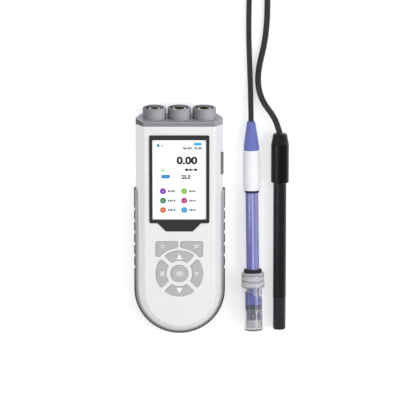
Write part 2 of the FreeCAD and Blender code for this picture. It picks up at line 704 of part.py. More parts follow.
def grip_bumper():
    """The band with a row of finger notches on each side."""
    notches = new_body("grip_notches")
    sketch = new_sketch(notches, "row")
    reach = "(body_width / 2 + grip_proud - notch_depth + notch_radius)"
    for sign in ("-", ""):
        circle(sketch, f"{sign}{reach}", "notch_first_y", "notch_radius")
    pad(sketch, "body_depth")
    repeat(notches, notches.Tip, (sketch, ["V_Axis"]), "notch_pitch", "notch_count", back=True)
    keep(combined("Cut", "grip_bumper", grip_band(), notches))


def grip_recess():
    """What both shells lose to the grip."""
    return wrap("grip_recess", "grip_proud + 1", "grip_sink", grip_zone())


# The charging port's cover, its recess and the opening for the connector.
def port_zone(label, gap):
    """The cover's outline seen from the side."""
    half_length = f"(port_length / 2 + {gap})"
    half_height = f"(port_height / 2 + {gap})"
    low = ("0", f"port_y - {half_length}", f"parting_height - {half_height}")
    high = ("body_width", f"port_y + {half_length}", f"parting_height + {half_height}")
    return box_body(label, low, high)


def port_cover():
    """The rubber flap, flush in its recess."""
    zone = port_zone("port_flap_zone", "0")
    keep(wrap("port_cover", "port_proud", "port_sink - port_swing_gap", zone))


def connector_opening():
    """The charging connector's way through the wall."""
    half_length = "(plug_width / 2 + plug_gap)"
    half_height = "(plug_height / 2 + plug_gap)"
    low = ("body_width / 2 - plug_depth", f"port_y - {half_length}", f"parting_height - {half_height}")
    high = ("body_width", f"port_y + {half_length}", f"parting_height + {half_height}")
    return box_body("connector_opening", low, high)


# The keys: outlines shared by the caps, their flanges and the holes in the front shell.
def ring_key(turn, grow="0"):
    """One of the four ring keys, its ends parallel to the diagonals; turned by quarter turns."""
    inner, outer = f"(ring_inner - ({grow}))", f"(ring_outer + {grow})"
    offset = f"((ring_gap - ({grow})) * sqrt(2))"

    def corner(radius):
        x = f"((sqrt(2 * {radius} ^ 2 - {offset} ^ 2) - {offset}) / 2)"
        return x, f"({x} + {offset})"

    (far_x, far_y), (near_x, near_y) = corner(outer), corner(inner)
    corners = [
        (near_x, near_y, inner, "right"),
        (far_x, far_y),
        (f"(-{far_x})", far_y, outer, "left"),
        (f"(-{near_x})", near_y),
    ]
    turned_corners = []
    for x, y, *arc in corners:
        for step in range(turn):
            x, y = f"(-{y})", x
        turned_corners.append((x, f"pad_y + {y}", *arc))
    return turned_corners


def corner_key(sign, grow="0"):
    """The key above the ring on the left or right, hollow towards the ring."""
    arc = f"(corner_arc - ({grow}))"
    inner_x = f"(corner_inner - ({grow}))"
    side_x = f"(ring_outer + {grow})"
    foot = f"sqrt({arc} ^ 2 - corner_foot ^ 2)"
    corners = [
        (side_x, f"{foot} + corner_rise"),
        (side_x, f"corner_top + {grow}"),
        (inner_x, f"corner_top + {grow}"),
        (inner_x, f"sqrt({arc} ^ 2 - {inner_x} ^ 2)"),
        ("corner_foot", foot, arc, "right"),
    ]
    if sign == "-":
        corners[-1] = ("corner_foot", foot, arc, "left")
    return [(f"{sign}{x}", f"pad_y + {y}", *arc_part) for x, y, *arc_part in corners]


KEY_OUTLINES = {
    "key_up": lambda grow="0": ring_key(0, grow),
    "key_left": lambda grow="0": ring_key(1, grow),
    "key_down": lambda grow="0": ring_key(2, grow),
    "key_right": lambda grow="0": ring_key(3, grow),
    "key_power": lambda grow="0": corner_key("-", grow),
    "key_calibrate": lambda grow="0": corner_key("", grow),
}
SWITCHES = {
    "key_up": ("0", "pad_y + switch_radius"),
    "key_left": ("-switch_radius", "pad_y"),
    "key_down": ("0", "pad_y - switch_radius"),
    "key_right": ("switch_radius", "pad_y"),
    "key_power": ("-corner_switch_x", "pad_y + corner_switch_y"),
    "key_calibrate": ("corner_switch_x", "pad_y + corner_switch_y"),
    "key_enter": ("0", "pad_y"),
}
LIP_TOP = f"({FACE} - lip_play)"
MAT_TOP = f"({LIP_TOP} - lip_thickness - key_travel - mat_gap)"
STEM_LOW = "(board_top + switch_height + stem_play + key_travel)"


def upright(box, edge):
    """Whether an edge is a straight vertical one."""
    return box.XLength < 1e-4 and box.YLength < 1e-4 and box.ZLength > 0.1


def make_key(name):
    """A key cap with a flange that keeps it in, and the stem that reaches its switch."""
    body = new_body(name)
    top = "(body_depth + key_proud)"
    cap = new_sketch(body, "cap", lift=LIP_TOP)
    lip = new_sketch(body, "lip", lift=f"{LIP_TOP} - lip_thickness")
    if name == "key_enter":
        pad(circle(cap, "0", "pad_y", "enter_radius"), f"{top} - {LIP_TOP}")
    else:
        pad(draw(cap, KEY_OUTLINES[name]()), f"{top} - {LIP_TOP}")
        soften(body, upright, "key_corner")
    high = num(top) - 0.01
    soften(body, lambda box, edge: box.ZMin > high, "key_edge")
    if name == "key_enter":
        pad(circle(lip, "0", "pad_y", "enter_radius + key_lip"), "lip_thickness")
    else:
        pad(draw(lip, KEY_OUTLINES[name]("key_lip")), "lip_thickness")
    stem = circle(new_sketch(body, "stem", lift=STEM_LOW), *SWITCHES[name], "stem_radius")
    pad(stem, f"{LIP_TOP} - lip_thickness - {STEM_LOW}")
    keep(body)


def keypad_mat():
    """The rubber sheet that seals the keys, standing on the board with its rim."""
    body = new_body("keypad_seal")
    half = "(mat_width / 2)"
    sheet = new_sketch(body, "sheet", lift="board_top")
    pad(draw(sheet, rectangle(f"-{half}", "mat_low_y", half, "mat_high_y")), f"{MAT_TOP} - board_top")
    inner = f"({half} - mat_rim)"
    room = new_sketch(body, "room", lift="board_top")
    low_y, high_y = "mat_low_y + mat_rim", "mat_high_y - mat_rim"
    depth = f"{MAT_TOP} - mat_thickness - board_top"
    pocket(draw(room, rectangle(f"-{inner}", low_y, inner, high_y)), depth, back=True)
    holes = new_sketch(body, "holes", lift=MAT_TOP)
    for place in SWITCHES.values():
        circle(holes, *place, "stem_radius + key_gap")
    pocket(holes, "mat_thickness")
    keep(body)


# The shells.
def rounded_rectangle(half_x, low_y, high_y, radius):
    """The corners of a rectangle with rounded corners."""
    return [
        (f"-{half_x} + {radius}", low_y, radius, "left"),
        (f"{half_x} - {radius}", low_y),
        (half_x, f"{low_y} + {radius}", radius, "left"),
        (half_x, f"{high_y} - {radius}"),
        (f"{half_x} - {radius}", high_y, radius, "left"),
        (f"-{half_x} + {radius}", high_y),
        (f"-{half_x}", f"{high_y} - {radius}", radius, "left"),
        (f"-{half_x}", f"{low_y} + {radius}"),
    ]


WINDOW_LOW = "(window_y - window_height / 2)"
WINDOW_HIGH = "(window_y + window_height / 2)"


def bezel_outline(body, name, lift, gap):
    """The dark frame round the screen with its tapered tab, as two overlapping outlines."""
    half = f"(window_width / 2 + bezel_side + {gap})"
    low, high = f"({WINDOW_LOW} - bezel_bottom - {gap})", f"({WINDOW_HIGH} + bezel_top + {gap})"
    rounded = rounded_rectangle(half, low, high, "bezel_corner")
    frame = draw(new_sketch(body, f"{name}_frame", lift=lift), rounded)
    top, bottom = f"(tab_top_width / 2 + {gap})", f"(tab_bottom_width / 2 + {gap})"
    corners = [
        (f"-{top}", f"{low} + bezel_corner"),
        (f"-{top}", low),
        (f"-{bottom}", f"{low} - tab_length"),
        (bottom, f"{low} - tab_length"),
        (top, low),
        (top, f"{low} + bezel_corner"),
    ]
    return frame, draw(new_sketch(body, f"{name}_tab", lift=lift), corners)


def front_shell(recesses):
    """The front half: screen opening, key holes and the bosses that the screws bite into."""
    body = new_body("front_moulding")
    hull(body, "outside", [side("parting_height"), *front_corner()], "seam_y")
    cavity = [side("parting_height", "-shell_wall"), side(FACE, "-shell_wall")]
    hull(body, "cavity", cavity, "seam_y + 1", cut=True)
    posts = new_sketch(body, "posts", lift="parting_height")
    for place in BOSSES:
        circle(posts, *place, "boss_radius")
    pad(posts, f"{FACE} - parting_height")
    pilots = new_sketch(body, "pilots", lift="parting_height")
    for place in BOSSES:
        circle(pilots, *place, "screw_radius + seat_gap")
    pocket(pilots, "screw_recess + screw_length + 0.5 - parting_height", back=True)
    for sketch in bezel_outline(body, "bezel_seat", "body_depth", "seat_gap"):
        pocket(sketch, "bezel_sink")
    window = new_sketch(body, "window", lift="body_depth")
    half = "(window_width / 2 + glass_lip + seat_gap)"
    low, high = f"{WINDOW_LOW} - glass_lip - seat_gap", f"{WINDOW_HIGH} + glass_lip + seat_gap"
    pocket(draw(window, rectangle(f"-{half}", low, half, high)), "face_wall")
    for name, key_outline in KEY_OUTLINES.items():
        pocket(draw(new_sketch(body, f"{name}_hole", lift="body_depth"), key_outline("key_gap")), "face_wall")
    reach = num("sqrt(corner_top ^ 2 + ring_outer ^ 2)") + 1
    middle = V(0, num("pad_y"), 0)

    def beside_key(box, edge):
        spot = V(box.Center.x, box.Center.y, 0)
        return upright(box, edge) and (spot - middle).Length < reach and box.ZLength < num("face_wall") + 0.01

    soften(body, beside_key, "key_corner + key_gap")
    enter = circle(new_sketch(body, "enter_hole", lift="body_depth"), "0", "pad_y", "enter_radius + key_gap")
    pocket(enter, "face_wall")
    keep(combined("Cut", "front_shell", body, recesses), "front_shell")


DOOR_MIDDLE = "((door_low_y + door_high_y) / 2)"
DOOR_TOP = "(door_recess + door_thickness)"
LEDGE_LOW = f"({DOOR_TOP} + door_seal_height)"
LEDGE_TOP = f"({LEDGE_LOW} + ledge_thickness)"
BAY_HALF = "(door_width / 2 - ledge_width)"
BAY_LOW, BAY_HIGH = "(door_low_y + ledge_end)", "(door_high_y - ledge_end)"
DOOR_SCREWS = [("0", "door_low_y + door_screw_inset"), ("0", "door_high_y - door_screw_inset")]
RISER_TOP = "(parting_height - plug_height / 2)"
RISER_LOW = f"({RISER_TOP} - riser_thickness)"
RISER_FAR = half_width(RISER_LOW, "(-shell_wall - plug_gap)")
RISER_X = f"({RISER_FAR} - riser_width)"
RISER_POSTS = [
    (f"{RISER_X} + post_radius", "port_y - riser_length / 2 + post_radius"),
    (f"{RISER_X} + post_radius", "port_y + riser_length / 2 - post_radius"),
]


def back_shell(recesses):
    """The back half: battery bay with its ledge, screw posts and the seal's groove."""
    body = new_body("back_moulding")
    hull(body, "outside", [*back_corner(), side("parting_height")], "seam_y")
    cavity = [side("shell_wall", "-shell_wall"), side("parting_height", "-shell_wall")]
    hull(body, "cavity", cavity, "seam_y + 1", cut=True)
    half = "(door_width / 2 + door_gap + door_rim)"
    low, high = "door_low_y - door_gap - door_rim", "door_high_y + door_gap + door_rim"
    rim = new_sketch(body, "door_rim", lift="shell_wall")
    pad(draw(rim, rectangle(f"-{half}", low, half, high)), f"{LEDGE_TOP} - shell_wall")
    posts = new_sketch(body, "posts", lift="shell_wall")
    for place in BOSSES:
        circle(posts, *place, "boss_radius")
    pad(posts, "parting_height - shell_wall")
    riser_posts = new_sketch(body, "riser_posts", lift="shell_wall")
    for place in RISER_POSTS:
        circle(riser_posts, *place, "post_radius")
    pad(riser_posts, f"{RISER_LOW} - shell_wall")
    seat = new_sketch(body, "door_seat")
    corners = rounded_rectangle(
        "(door_width / 2 + door_gap)", "(door_low_y - door_gap)", "(door_high_y + door_gap)", "door_corner"
    )
    pocket(draw(seat, corners), LEDGE_LOW, back=True)
    bay = new_sketch(body, "bay")
    pocket(draw(bay, rectangle(f"-{BAY_HALF}", BAY_LOW, BAY_HALF, BAY_HIGH)), LEDGE_TOP, back=True)
    screws = new_sketch(body, "screw_ways")
    heads = new_sketch(body, "screw_heads")
    for place in BOSSES:
        circle(screws, *place, "screw_radius + screw_gap")
        circle(heads, *place, "screw_head_radius + screw_gap")
    pocket(screws, "parting_height", back=True)
    pocket(heads, "screw_recess", back=True)
    bites = new_sketch(body, "door_bites")
    for place in DOOR_SCREWS:
        circle(bites, *place, "door_screw_radius + seat_gap")
    pocket(bites, LEDGE_TOP, back=True)
    groove = combined("Cut", "back_with_groove", body, seal_band("seal_groove", "seat_gap"))
    keep(combined("Cut", "back_shell", groove, recesses), "back_shell")


def seal_band(label, gap):
    """The seal's band along the parting line, from one end of the cap round to the other."""
    band = new_body(label)
    low = f"(parting_height - seal_height - {gap})"
    outer = flat_outline(band, "outside", low, f"-seal_inset + {gap}", "seam_y")
    pad(outer, f"seal_height + {gap}")
    inner = flat_outline(band, "inside", low, f"-seal_inset - seal_width - {gap}", "seam_y + 1")
    pocket(inner, "seal_height + 1", back=True)
    return band


def housing_seal(opening):
    """The cord seal between the shells, interrupted at the charging connector."""
    band = seal_band("housing_seal_band", "0")
    low_z = "parting_height - seal_height - 1"
    margin = "(plug_width / 2 + 2)"
    low = ("0", f"port_y - {margin}", low_z)
    high = ("body_width", f"port_y + {margin}", "parting_height + 1")
    gap = box_body("housing_seal_gap", low, high)
    keep(combined("Cut", "housing_seal", band, gap), "housing_seal")


def placed_group(label, body, places):
    """Copies of a body that share one node; a place is (x, y, z) or a whole placement."""
    shapes = []
    for place in places:
        if not isinstance(place, FreeCAD.Placement):
            place = FreeCAD.Placement(V(*[num(c) for c in place]), FreeCAD.Rotation())
        shapes.append(moved(body.Shape, place))
    return group(label, shapes)


def screw(label, radius, head_radius, head_height, length):
    """A pan-head screw, head down, its seat at z = 0, with a cross recess."""
    body = turned(label, [
        ("0", f"-{head_height}"),
        (f"{head_radius} * 0.8", f"-{head_height}"),
        (head_radius, f"-{head_height} * 0.5"),
        (head_radius, "0"),
        (radius, "0"),
        (radius, f"{length} - {radius}"),
        ("0", length),
    ])
    for name, half_x, half_y in (("slot", 0.5, 0.1), ("cross", 0.1, 0.5)):
        cut = new_sketch(body, name, lift=f"-{head_height}")
        x, y = f"({head_radius} * {half_x})", f"({head_radius} * {half_y})"
        pocket(draw(cut, rectangle(f"-{x}", f"-{y}", x, y)), f"{head_height} * 0.5", back=True)
    return body


def fasteners():
    """Six shell screws and two door screws."""
    long_one = screw("shell_screw", "screw_radius", "screw_head_radius", "screw_head_height", "screw_length")
    placed_group("shell_screws", long_one, [(x, y, "screw_recess") for x, y in BOSSES])
    length = f"({LEDGE_TOP} - {DOOR_TOP} + door_head_height - screw_gap)"
    short_one = screw("door_screw", "door_screw_radius", "door_head_radius", "door_head_height", length)
    seat = "door_recess + door_head_height"
    placed_group("door_screws", short_one, [(x, y, seat) for x, y in DOOR_SCREWS])


# The display.
def display():
    """Bezel, glass, panel and the frame that carries the panel on the board."""
    bezel = new_body("display_bezel")
    floor = "(body_depth - bezel_sink)"
    frame, tab = bezel_outline(bezel, "outer", floor, "0")
    pad(frame, "bezel_sink + bezel_proud")
    pad(tab, "bezel_sink + bezel_proud")
    window = new_sketch(bezel, "window", lift="body_depth + bezel_proud")
    half = "(window_width / 2)"
    pocket(draw(window, rectangle(f"-{half}", WINDOW_LOW, half, WINDOW_HIGH)), "bezel_sink + bezel_proud")
    keep(bezel)
    glass_low = f"({floor} - glass_thickness)"
    panel_low = f"({glass_low} - seat_gap - panel_thickness)"
    for label, lip, lift, thickness in (
        ("display_lens", "glass_lip", glass_low, "glass_thickness"),
        ("display_panel", "panel_lip", panel_low, "panel_thickness"),
    ):
        plate = new_body(label)
        half = f"(window_width / 2 + {lip})"
        corners = rectangle(f"-{half}", f"{WINDOW_LOW} - {lip}", half, f"{WINDOW_HIGH} + {lip}")
        pad(draw(new_sketch(plate, "plate", lift=lift), corners), thickness)
        keep(plate)
    carrier = new_body("display_frame")
    margin = "panel_lip + seat_gap + frame_wall"
    half = f"(window_width / 2 + {margin})"
    low, high = f"({WINDOW_LOW} - ({margin}))", f"({WINDOW_HIGH} + {margin})"
    carrier_low = f"({panel_low} - frame_floor)"
    height = f"{FACE} - seat_gap - {carrier_low}"
    pad(draw(new_sketch(carrier, "box", lift=carrier_low), rectangle(f"-{half}", low, half, high)), height)
    inner = f"({half} - frame_wall)"
    corners = rectangle(f"-{inner}", f"{low} + frame_wall", inner, f"{high} - frame_wall")
    room = new_sketch(carrier, "room", lift=f"{carrier_low} + {height}")
    pocket(draw(room, corners), f"{height} - frame_floor")
    for name, foot_y in (("low", f"{low} + frame_foot"), ("high", "board_high_y - frame_foot")):
        for side, sign in (("left", "-"), ("right", "")):
            x = f"{sign}(board_width / 2 - frame_foot)"
            near, far = f"{x} - frame_foot / 2", f"{x} + frame_foot / 2"
            corners = rectangle(near, f"{foot_y} - frame_foot / 2", far, f"{foot_y} + frame_foot / 2")
            foot = new_sketch(carrier, f"foot_{name}_{side}", lift="board_top")
            pad(draw(foot, corners), f"{carrier_low} - board_top")
    keep(carrier)


# The electronics. Parts under the board: name, x, y, width, length and height in millimetres.
BOARD_PARTS = [
    ("processor", -9, -16, 12, 12, 1.6),
    ("memory", 6, -14, 6, 8, 1.2),
    ("shielded_front_end", 0, -46, 26, 22, 3.2),
    ("battery_plug", 12, -2, 8, 6, 5.0),
    ("sounder", -12, -30, 9, 9, 4.0),
]


def electronics():
    """Main board, switches, the larger parts under the board and the charging connector."""
    board = new_body("main_board")
    corners = rounded_rectangle("(board_width / 2)", "board_low_y", "board_high_y", "door_corner")
    pad(draw(new_sketch(board, "plate", lift=BOARD_LOW), corners), "board_thickness")
    keep(board)
    switch = new_body("tactile_switch")
    half = "(switch_side / 2)"
    pad(draw(new_sketch(switch, "base"), rectangle(f"-{half}", f"-{half}", half, half)), "switch_body")
    plunger = circle(new_sketch(switch, "plunger", lift="switch_body"), "0", "0", "plunger_radius")
    pad(plunger, "switch_height - switch_body")
    placed_group("tactile_switches", switch, [(x, y, "board_top") for x, y in SWITCHES.values()])
    chips = []
    for name, x, y, width, length, height in BOARD_PARTS:
        chip = new_body(name)
        outline = rectangle(x - width / 2, y - length / 2, x + width / 2, y + length / 2)
        pad(draw(new_sketch(chip, "outline", lift=f"{BOARD_LOW} - {height}"), outline), height)
        chips.append(chip.Shape)
    group("board_chips", chips)
    group("usb_port", [charging_connector().Shape, connector_board().Shape])


def charging_connector():
    """The connector's metal shell with its tongue."""
    connector = new_body("connector_shell")
    half = "(plug_width / 2)"
    far_x = "(body_width / 2 - shell_wall + plug_gap)"
    low_x = f"({far_x} - plug_depth)"
    corners = rectangle(low_x, f"port_y - {half}", far_x, f"port_y + {half}")
    pad(draw(new_sketch(connector, "case", lift=RISER_TOP), corners), "plug_height")
    soften(connector, lambda box, edge: box.XLength > 1 and box.YLength < 0.01, "plug_height * 0.45")
    mouth = new_sketch(connector, "mouth", "YZ", lift=far_x)
    inner = f"({half} - plug_wall)"
    low_z, high_z = f"{RISER_TOP} + plug_wall", f"{RISER_TOP} + plug_height - plug_wall"
    slot_end = "(plug_height / 2 - plug_wall)"
    corners = [
        (f"port_y - {inner} + {slot_end}", low_z, slot_end, "left"),
        (f"port_y + {inner} - {slot_end}", low_z),
        (f"port_y + {inner}", "parting_height", slot_end, "left"),
        (f"port_y + {inner} - {slot_end}", high_z, slot_end, "left"),
        (f"port_y - {inner} + {slot_end}", high_z),
        (f"port_y - {inner}", "parting_height", slot_end, "left"),
    ]
    pocket(draw(mouth, corners), "plug_depth - plug_floor")
    tongue = new_sketch(connector, "tongue", lift="parting_height - tongue_thickness / 2")
    near_y, far_y = "port_y - tongue_width / 2", "port_y + tongue_width / 2"
    corners = rectangle(f"{low_x} + plug_floor / 2", near_y, f"{far_x} - plug_floor", far_y)
    pad(draw(tongue, corners), "tongue_thickness")
    return connector


def connector_board():
    """The small board that carries the charging connector."""
    riser = new_body("connector_riser")
    corners = rectangle(RISER_X, "port_y - riser_length / 2", RISER_FAR, "port_y + riser_length / 2")
    pad(draw(new_sketch(riser, "plate", lift=RISER_LOW), corners), "riser_thickness")
    return riser


# The battery.
def battery():
    """Tray, two cells with their contacts, and the sealed door."""
    tray = new_body("battery_tray")
    low = f"({LEDGE_TOP} + seat_gap)"
    roof = f"({BOARD_LOW} - 0.1)"
    cell_x = "(cell_radius + cell_gap)"
    inner = f"(2 * {cell_x})"
    outer = f"({inner} + tray_wall)"
    far, near = f"({BAY_HIGH} + tray_wall)", f"({BAY_LOW} - tray_wall)"
    pad(draw(new_sketch(tray, "box", lift=low), rectangle(f"-{outer}", near, outer, far)), f"{roof} - {low}")
    room = draw(new_sketch(tray, "room", lift=low), rectangle(f"-{inner}", BAY_LOW, inner, BAY_HIGH))
    pocket(room, f"{roof} - tray_roof - {low}", back=True)
    keep(tray)
    cell_z = f"({roof} - tray_roof - 0.15 - cell_radius)"
    cell = turned("battery_cell", [
        ("0", "0"),
        ("cell_radius", "0"),
        ("cell_radius", "cell_length - cell_nub - 1"),
        ("cell_radius - 1", "cell_length - cell_nub"),
        ("cell_nub_radius", "cell_length - cell_nub"),
        ("cell_nub_radius", "cell_length"),
        ("0", "cell_length"),
    ])
    play = f"(({BAY_HIGH} - {BAY_LOW} - cell_length) / 2)"
    ahead, astern = FreeCAD.Rotation(V(1, 0, 0), -90), FreeCAD.Rotation(V(1, 0, 0), 90)
    start, stop = num(f"{BAY_LOW} + {play}"), num(f"{BAY_HIGH} - {play}")
    x, z = num(cell_x), num(cell_z)
    cells = [FreeCAD.Placement(V(-x, start, z), ahead), FreeCAD.Placement(V(x, stop, z), astern)]
    placed_group("battery_cells", cell, cells)
    contact = new_body("battery_contact")
    half = "(contact_side / 2)"
    pad(draw(new_sketch(contact, "plate"), rectangle(f"-{half}", f"-{half}", half, half)), "contact_plate")
    coil = new_sketch(contact, "coil", "XZ")
    spring = [
        ("0", "contact_plate"),
        ("spring_radius", "contact_plate"),
        ("spring_radius * 0.6", f"{play} - seat_gap"),
        ("0", f"{play} - seat_gap"),
    ]
    spin(draw(coil, spring))
    contacts = []
    for side in (-x, x):
        contacts.append(FreeCAD.Placement(V(side, num(BAY_LOW), z), ahead))
        contacts.append(FreeCAD.Placement(V(side, num(BAY_HIGH), z), astern))
    placed_group("battery_contacts", contact, contacts)
    door = new_body("battery_door")
    corners = rounded_rectangle("(door_width / 2)", "door_low_y", "door_high_y", "door_corner")
    pad(draw(new_sketch(door, "plate", lift="door_recess"), corners), "door_thickness")
    heads, ways = new_sketch(door, "heads", lift="door_recess"), new_sketch(door, "ways", lift="door_recess")
    for place in DOOR_SCREWS:
        circle(heads, *place, "door_head_radius + 0.1")
        circle(ways, *place, "door_screw_radius + 0.1")
    pocket(ways, "door_thickness", back=True)
    pocket(heads, "door_head_height", back=True)
    groove = new_sketch(door, "groove", lift="door_recess")
    row_end = f"({DOOR_MIDDLE} - door_groove_pitch * (door_grooves - 1) / 2)"
    half_long, half_wide = "(door_width / 4)", "(door_groove / 2)"
    corners = rectangle(f"-{half_long}", f"{row_end} - {half_wide}", half_long, f"{row_end} + {half_wide}")
    cut = pocket(draw(groove, corners), "door_groove_depth", back=True)
    repeat(door, cut, (groove, ["V_Axis"]), "door_groove_pitch", "door_grooves")
    keep(door)
    seal = new_body("door_seal")
    inset = "door_seal_inset"
    half, low_y, high_y = f"({BAY_HALF} + {inset})", f"{BAY_LOW} - {inset}", f"{BAY_HIGH} + {inset}"
    wide = f"({half} + door_seal_width)"
    outer = rectangle(f"-{wide}", f"{low_y} - door_seal_width", wide, f"{high_y} + door_seal_width")
    pad(draw(new_sketch(seal, "outer", lift=DOOR_TOP), outer), "door_seal_height")
    hole = draw(new_sketch(seal, "hole", lift=DOOR_TOP), rectangle(f"-{half}", low_y, half, high_y))
    pocket(hole, "door_seal_height", back=True)
    keep(seal)


# The head cap and its sockets. Along the sloping top, a socket's axis is square to the slope.
SOCKETS = ("-collar_pitch", "0", "collar_pitch")


def slope_sketch(body, name, lift):
    """A sketch in the cap's sloping top, its origin on the middle socket's axis, lifted outwards."""
    sketch = body.newObject("Sketcher::SketchObject", f"{body.Name}_{name}")
    base = [o for o in body.Origin.OriginFeatures if o.Role == "XZ_Plane"][0]
    sketch.AttachmentSupport = [(base, "")]
    sketch.MapMode = "FlatFace"
    place = jack_place("0", lift)
    turn = FreeCAD.Rotation(V(1, 0, 0), num("cap_slope"))
    sketch.AttachmentOffset = FreeCAD.Placement(V(0, place.Base.z, -place.Base.y), turn)
    sketch.setExpression("AttachmentOffset.Base.y", bound(f"body_depth / 2 + ({lift}) * sin(cap_slope)"))
    middle_y = cap_top("body_depth / 2")
    sketch.setExpression("AttachmentOffset.Base.z", bound(f"-({middle_y} + ({lift}) * cos(cap_slope))"))
    sketch.setExpression("AttachmentOffset.Rotation.Angle", bound("cap_slope"))
    return sketch


def jack_place(x, lift="0"):
    """Where a socket's own frame lies: z along its axis, its origin on the cap's sloping top."""
    slope = math.radians(num("cap_slope"))
    middle = V(num(x), num(cap_top("body_depth / 2")), num("body_depth / 2"))
    along = V(0, math.cos(slope), math.sin(slope))
    return FreeCAD.Placement(middle + along * num(lift), FreeCAD.Rotation(V(1, 0, 0), num("cap_slope - 90")))


def top_cap():
    """The head cap: sloping top, skirt inside the shells and three collars round the sockets."""
    shell = new_body("cap_outside")
    outline = [*back_corner(), side("parting_height"), *front_corner()]
    pad(section(shell, "section", outline, "seam_y"), "2 * cap_height + body_depth", back=True)
    slope_cut(shell, "0")
    inside = "(-shell_wall - seat_gap)"
    low, high = "shell_wall + seat_gap", f"{FACE} - seat_gap"
    skirt = side_block("cap_skirt", inside, low, high, "seam_y - skirt_length", "cap_wall")
    room_low, room_high = f"{low} + skirt_wall", f"{high} - skirt_wall"
    room_grow = f"({inside} - skirt_wall)"
    room = side_block("cap_room", room_grow, room_low, room_high, "seam_y - skirt_length - 1", "cap_wall")
    collars = new_body("cap_collars")
    for name, radius, lift, length in (
        ("outside", "collar_radius", "-cap_wall / 2", "collar_height + cap_wall / 2"),
        ("bore", "collar_bore", "0", "collar_height + 1"),
    ):
        sketch = slope_sketch(collars, name, lift)
        for x in SOCKETS:
            circle(sketch, x, "0", radius)
        if name == "outside":
            pad(sketch, length, back=True)
            top = num("collar_height") - 0.01
            inverse = jack_place("0").inverse()
            soften(collars, lambda box, edge: inverse.multVec(box.Center).z > top, "collar_edge", "Chamfer")
        else:
            pocket(sketch, length)
    solid = DOC.addObject("Part::MultiFuse", "cap_solid")
    solid.Shapes = [shell, skirt, collars]
    DOC.recompute()
    hollow = combined("Cut", "cap_hollow", solid, room)
    holes = new_body("cap_holes")
    sketch = slope_sketch(holes, "ways", "-cap_wall - 1")
    circle(sketch, SOCKETS[0], "0", "bnc_thread + thread_gap")
    for x in SOCKETS[1:]:
        circle(sketch, x, "0", "round_barrel + thread_gap")
    pad(sketch, "cap_wall + 1.5", back=True)
    keep(combined("Cut", "top_cap", hollow, holes), "top_cap")


def flute(body, count, circle_radius, radius, low, length):
    """Grip flutes cut round a ring by a polar pattern."""
    sketch = circle(new_sketch(body, "flute", lift=low), circle_radius, "0", radius)
    cut = pocket(sketch, length, back=True)
    around = body.newObject("PartDesign::PolarPattern", f"{body.Name}_flutes")
    around.Originals = [cut]
    around.Axis = ([o for o in body.Origin.OriginFeatures if o.Role == "Z_Axis"][0], [""])
    around.Angle = 360
    around.Occurrences = int(num(count))
    around.setExpression("Occurrences", bound(count))
    body.Tip = around
    DOC.recompute()


